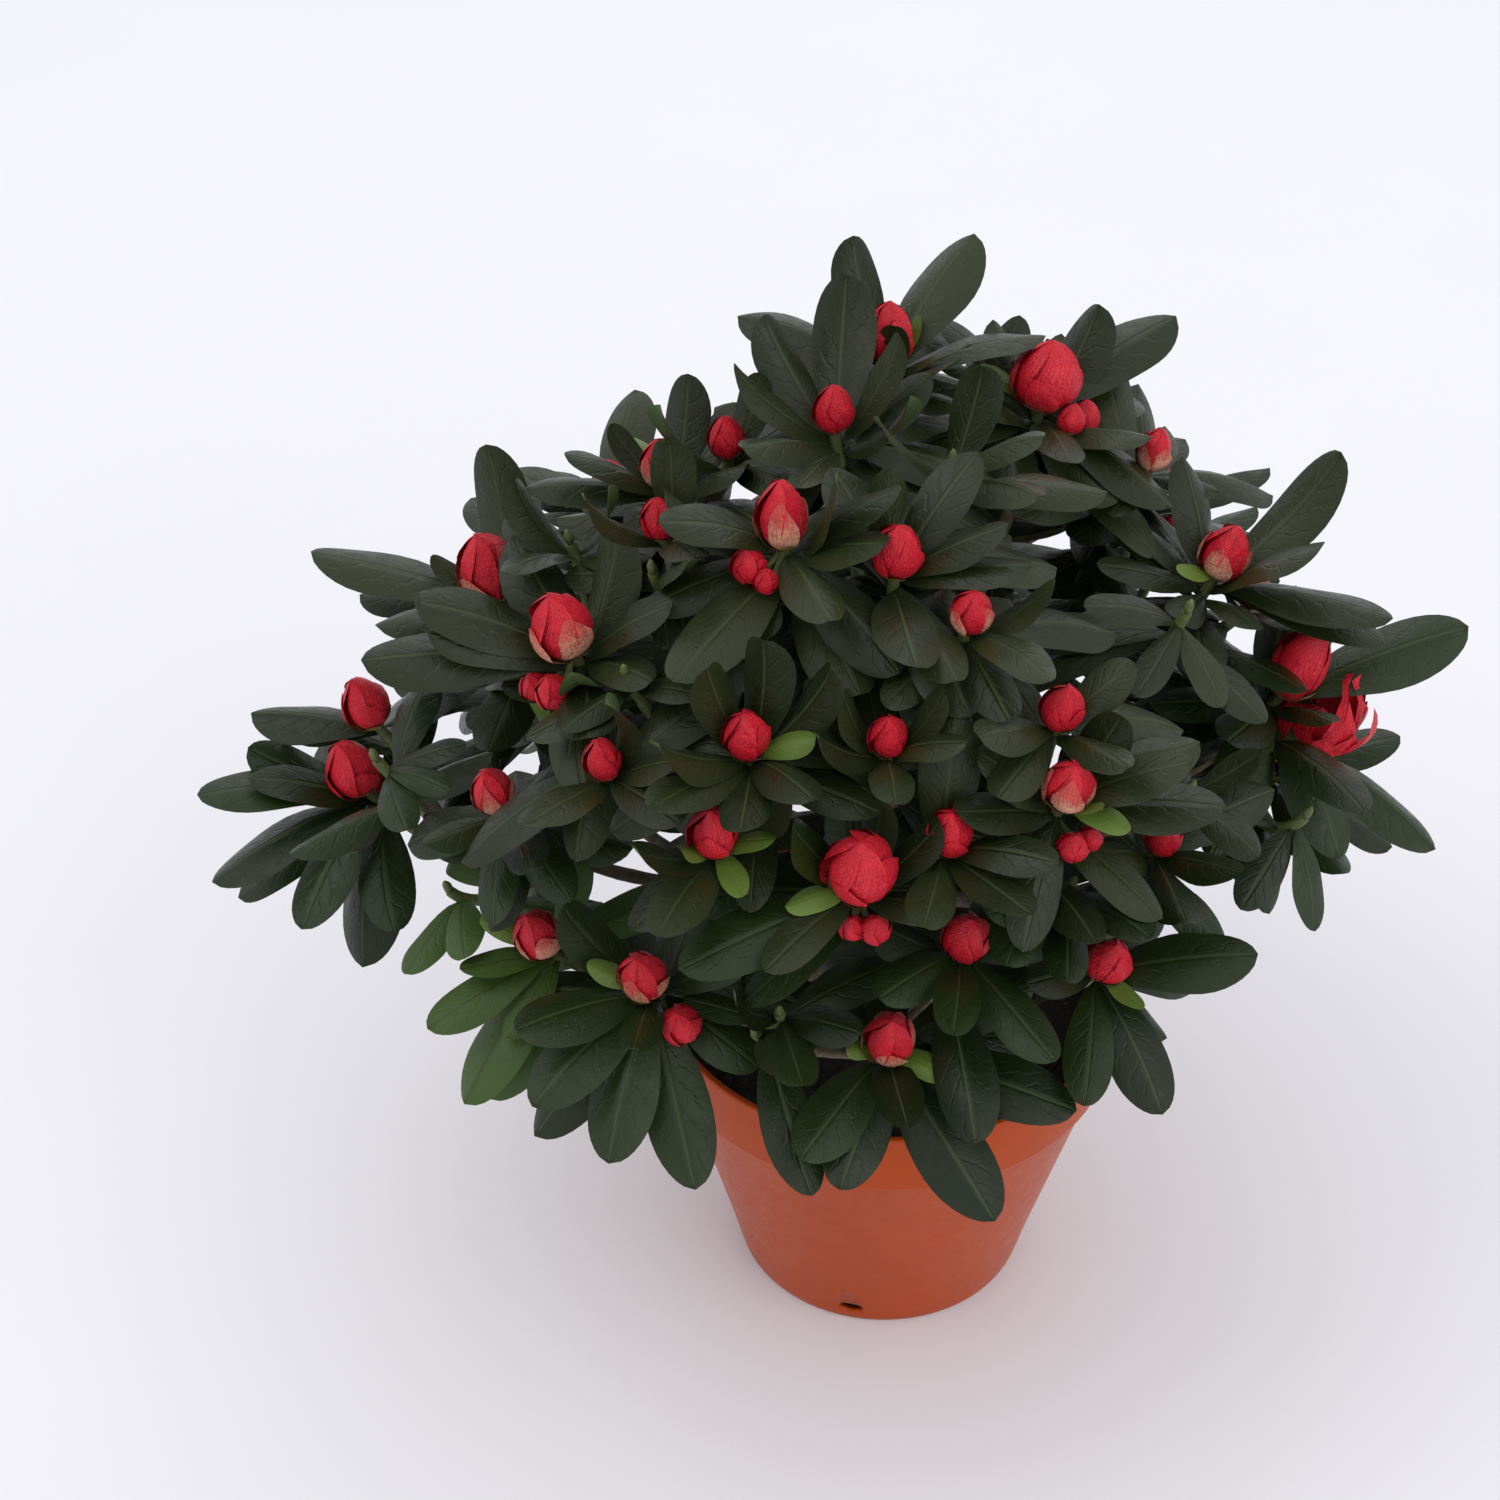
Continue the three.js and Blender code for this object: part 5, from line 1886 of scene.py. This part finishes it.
# crumbs of peat and a few pale chips: squashed balls with a bumpy skin, scattered by chance
def crumbSets():
    rows, columns = crumbSize["rows"], crumbSize["columns"]
    polar = np.linspace(0, np.pi, rows)[:, None]
    angle = np.linspace(0, 2 * np.pi, columns, endpoint=False)[None, :]
    roundHigh, poleHigh = crumbSize["bumps"]
    sets, slots = [], []
    for k in range(crumbSize["count"]):
        share = [chance(k, 11, 1, use) for use in range(1, 9)]
        radius = (wallRadius - crumbSize["inset"]) * math.sqrt(share[0])
        turn = wholeTurn * share[1]
        x, y = radius * math.sin(turn), -radius * math.cos(turn)
        pale = share[2] > crumbSize["paleAbove"]
        size = mix(*crumbSize["size"], share[3] ** 2) * (crumbSize["paleSize"] if pale else 1.0)
        bumps = 1 + roundHigh * np.sin(3 * angle + 9 * share[4] + 2 * polar)
        bumps = bumps + poleHigh * np.sin(5 * polar + 7 * share[5])
        deep, tall = mix(*crumbSize["deep"], share[6]), mix(*crumbSize["tall"], share[7])
        ball = np.stack(
            [
                size * bumps * np.sin(polar) * np.cos(angle),
                size * deep * bumps * np.sin(polar) * np.sin(angle),
                size * tall * bumps * np.cos(polar) * np.ones_like(angle),
            ],
            axis=-1,
        ).reshape(-1, 3)
        z = float(soilHeight(np.array([x]), np.array([y]), radius)[0])
        sets.append(ball + np.array([x, y, z]))
        slots.append(np.full((rows - 1) * columns, 1 if pale else 0))
    return sets, slots


crumbs, crumbSlots = crumbSets()
crumbGrid = gridFaces(crumbSize["rows"], crumbSize["columns"], len(crumbs), closed=True, poles=True)
crumbSkins = [peat, mottledMaterial("chip", (0.3, 0.22, 0.13), (0.55, 0.46, 0.34), **soilLook)]
crumbSlots = np.concatenate(crumbSlots)
addPiece("crumbs", np.concatenate(crumbs), crumbGrid[:, ::-1], crumbSkins, crumbSlots, slot="soil")
print("pot and soil done")

# the floor: half its side, its paper's tone and how much darker its mottle goes
stageSize = {"half": 4000.0, "tone": (0.81, 0.808, 0.845), "darker": 0.985}
paperLook = {"rough": 0.9, "tintScale": 2.0}
corners = np.array([[-1.0, -1.0, 0.0], [1.0, -1.0, 0.0], [1.0, 1.0, 0.0], [-1.0, 1.0, 0.0]])
floorPoints = stageSize["half"] * corners
darkTone = tuple(value * stageSize["darker"] for value in stageSize["tone"])
paper = mottledMaterial("floor_paper", darkTone, stageSize["tone"], **paperLook)
floor = addPiece("floor", floorPoints, np.array([[0, 1, 2, 3]]), [paper], smooth=False)

# lamps: their places and sizes in millimetres, and the point they all look at
aim = np.array([0.0, 0.0, 120.0])
lamps = [
    {"name": "key", "place": (-900, -250, 1500), "size": 1200, "power": 5.4, "colour": (1.0, 0.985, 0.965)},
    {"name": "fill", "place": (900, -900, 900), "size": 1400, "power": 5.7, "colour": (1.0, 0.99, 0.97)},
    {"name": "back", "place": (200, 1400, 1300), "size": 1500, "power": 3.7, "colour": (1.0, 1.0, 1.0)},
]
for lamp in lamps:
    data = bpy.data.lights.new(lamp["name"], "AREA")
    data.shape = "DISK"
    data.size = lamp["size"] * mm
    data.energy = lamp["power"]
    data.color = lamp["colour"]
    holder = bpy.data.objects.new(lamp["name"], data)
    place = np.array(lamp["place"], float) * mm
    backward = unit(place - aim * mm)
    right = unit(np.cross(up, backward))
    turned = np.stack([right, np.cross(backward, right), backward], axis=1)
    holder.matrix_world = Matrix.Translation(place) @ Matrix(turned.tolist()).to_4x4()
    bpy.context.scene.collection.objects.link(holder)

sky = {"colour": (0.97, 0.97, 1.0, 1.0), "strength": 0.92}
world = bpy.data.worlds.new("world")
world.use_nodes = True
background = world.node_tree.nodes["Background"]
background.inputs["Color"].default_value = sky["colour"]
background.inputs["Strength"].default_value = sky["strength"]
bpy.context.scene.world = world
bpy.context.scene.view_settings.view_transform = "Standard"
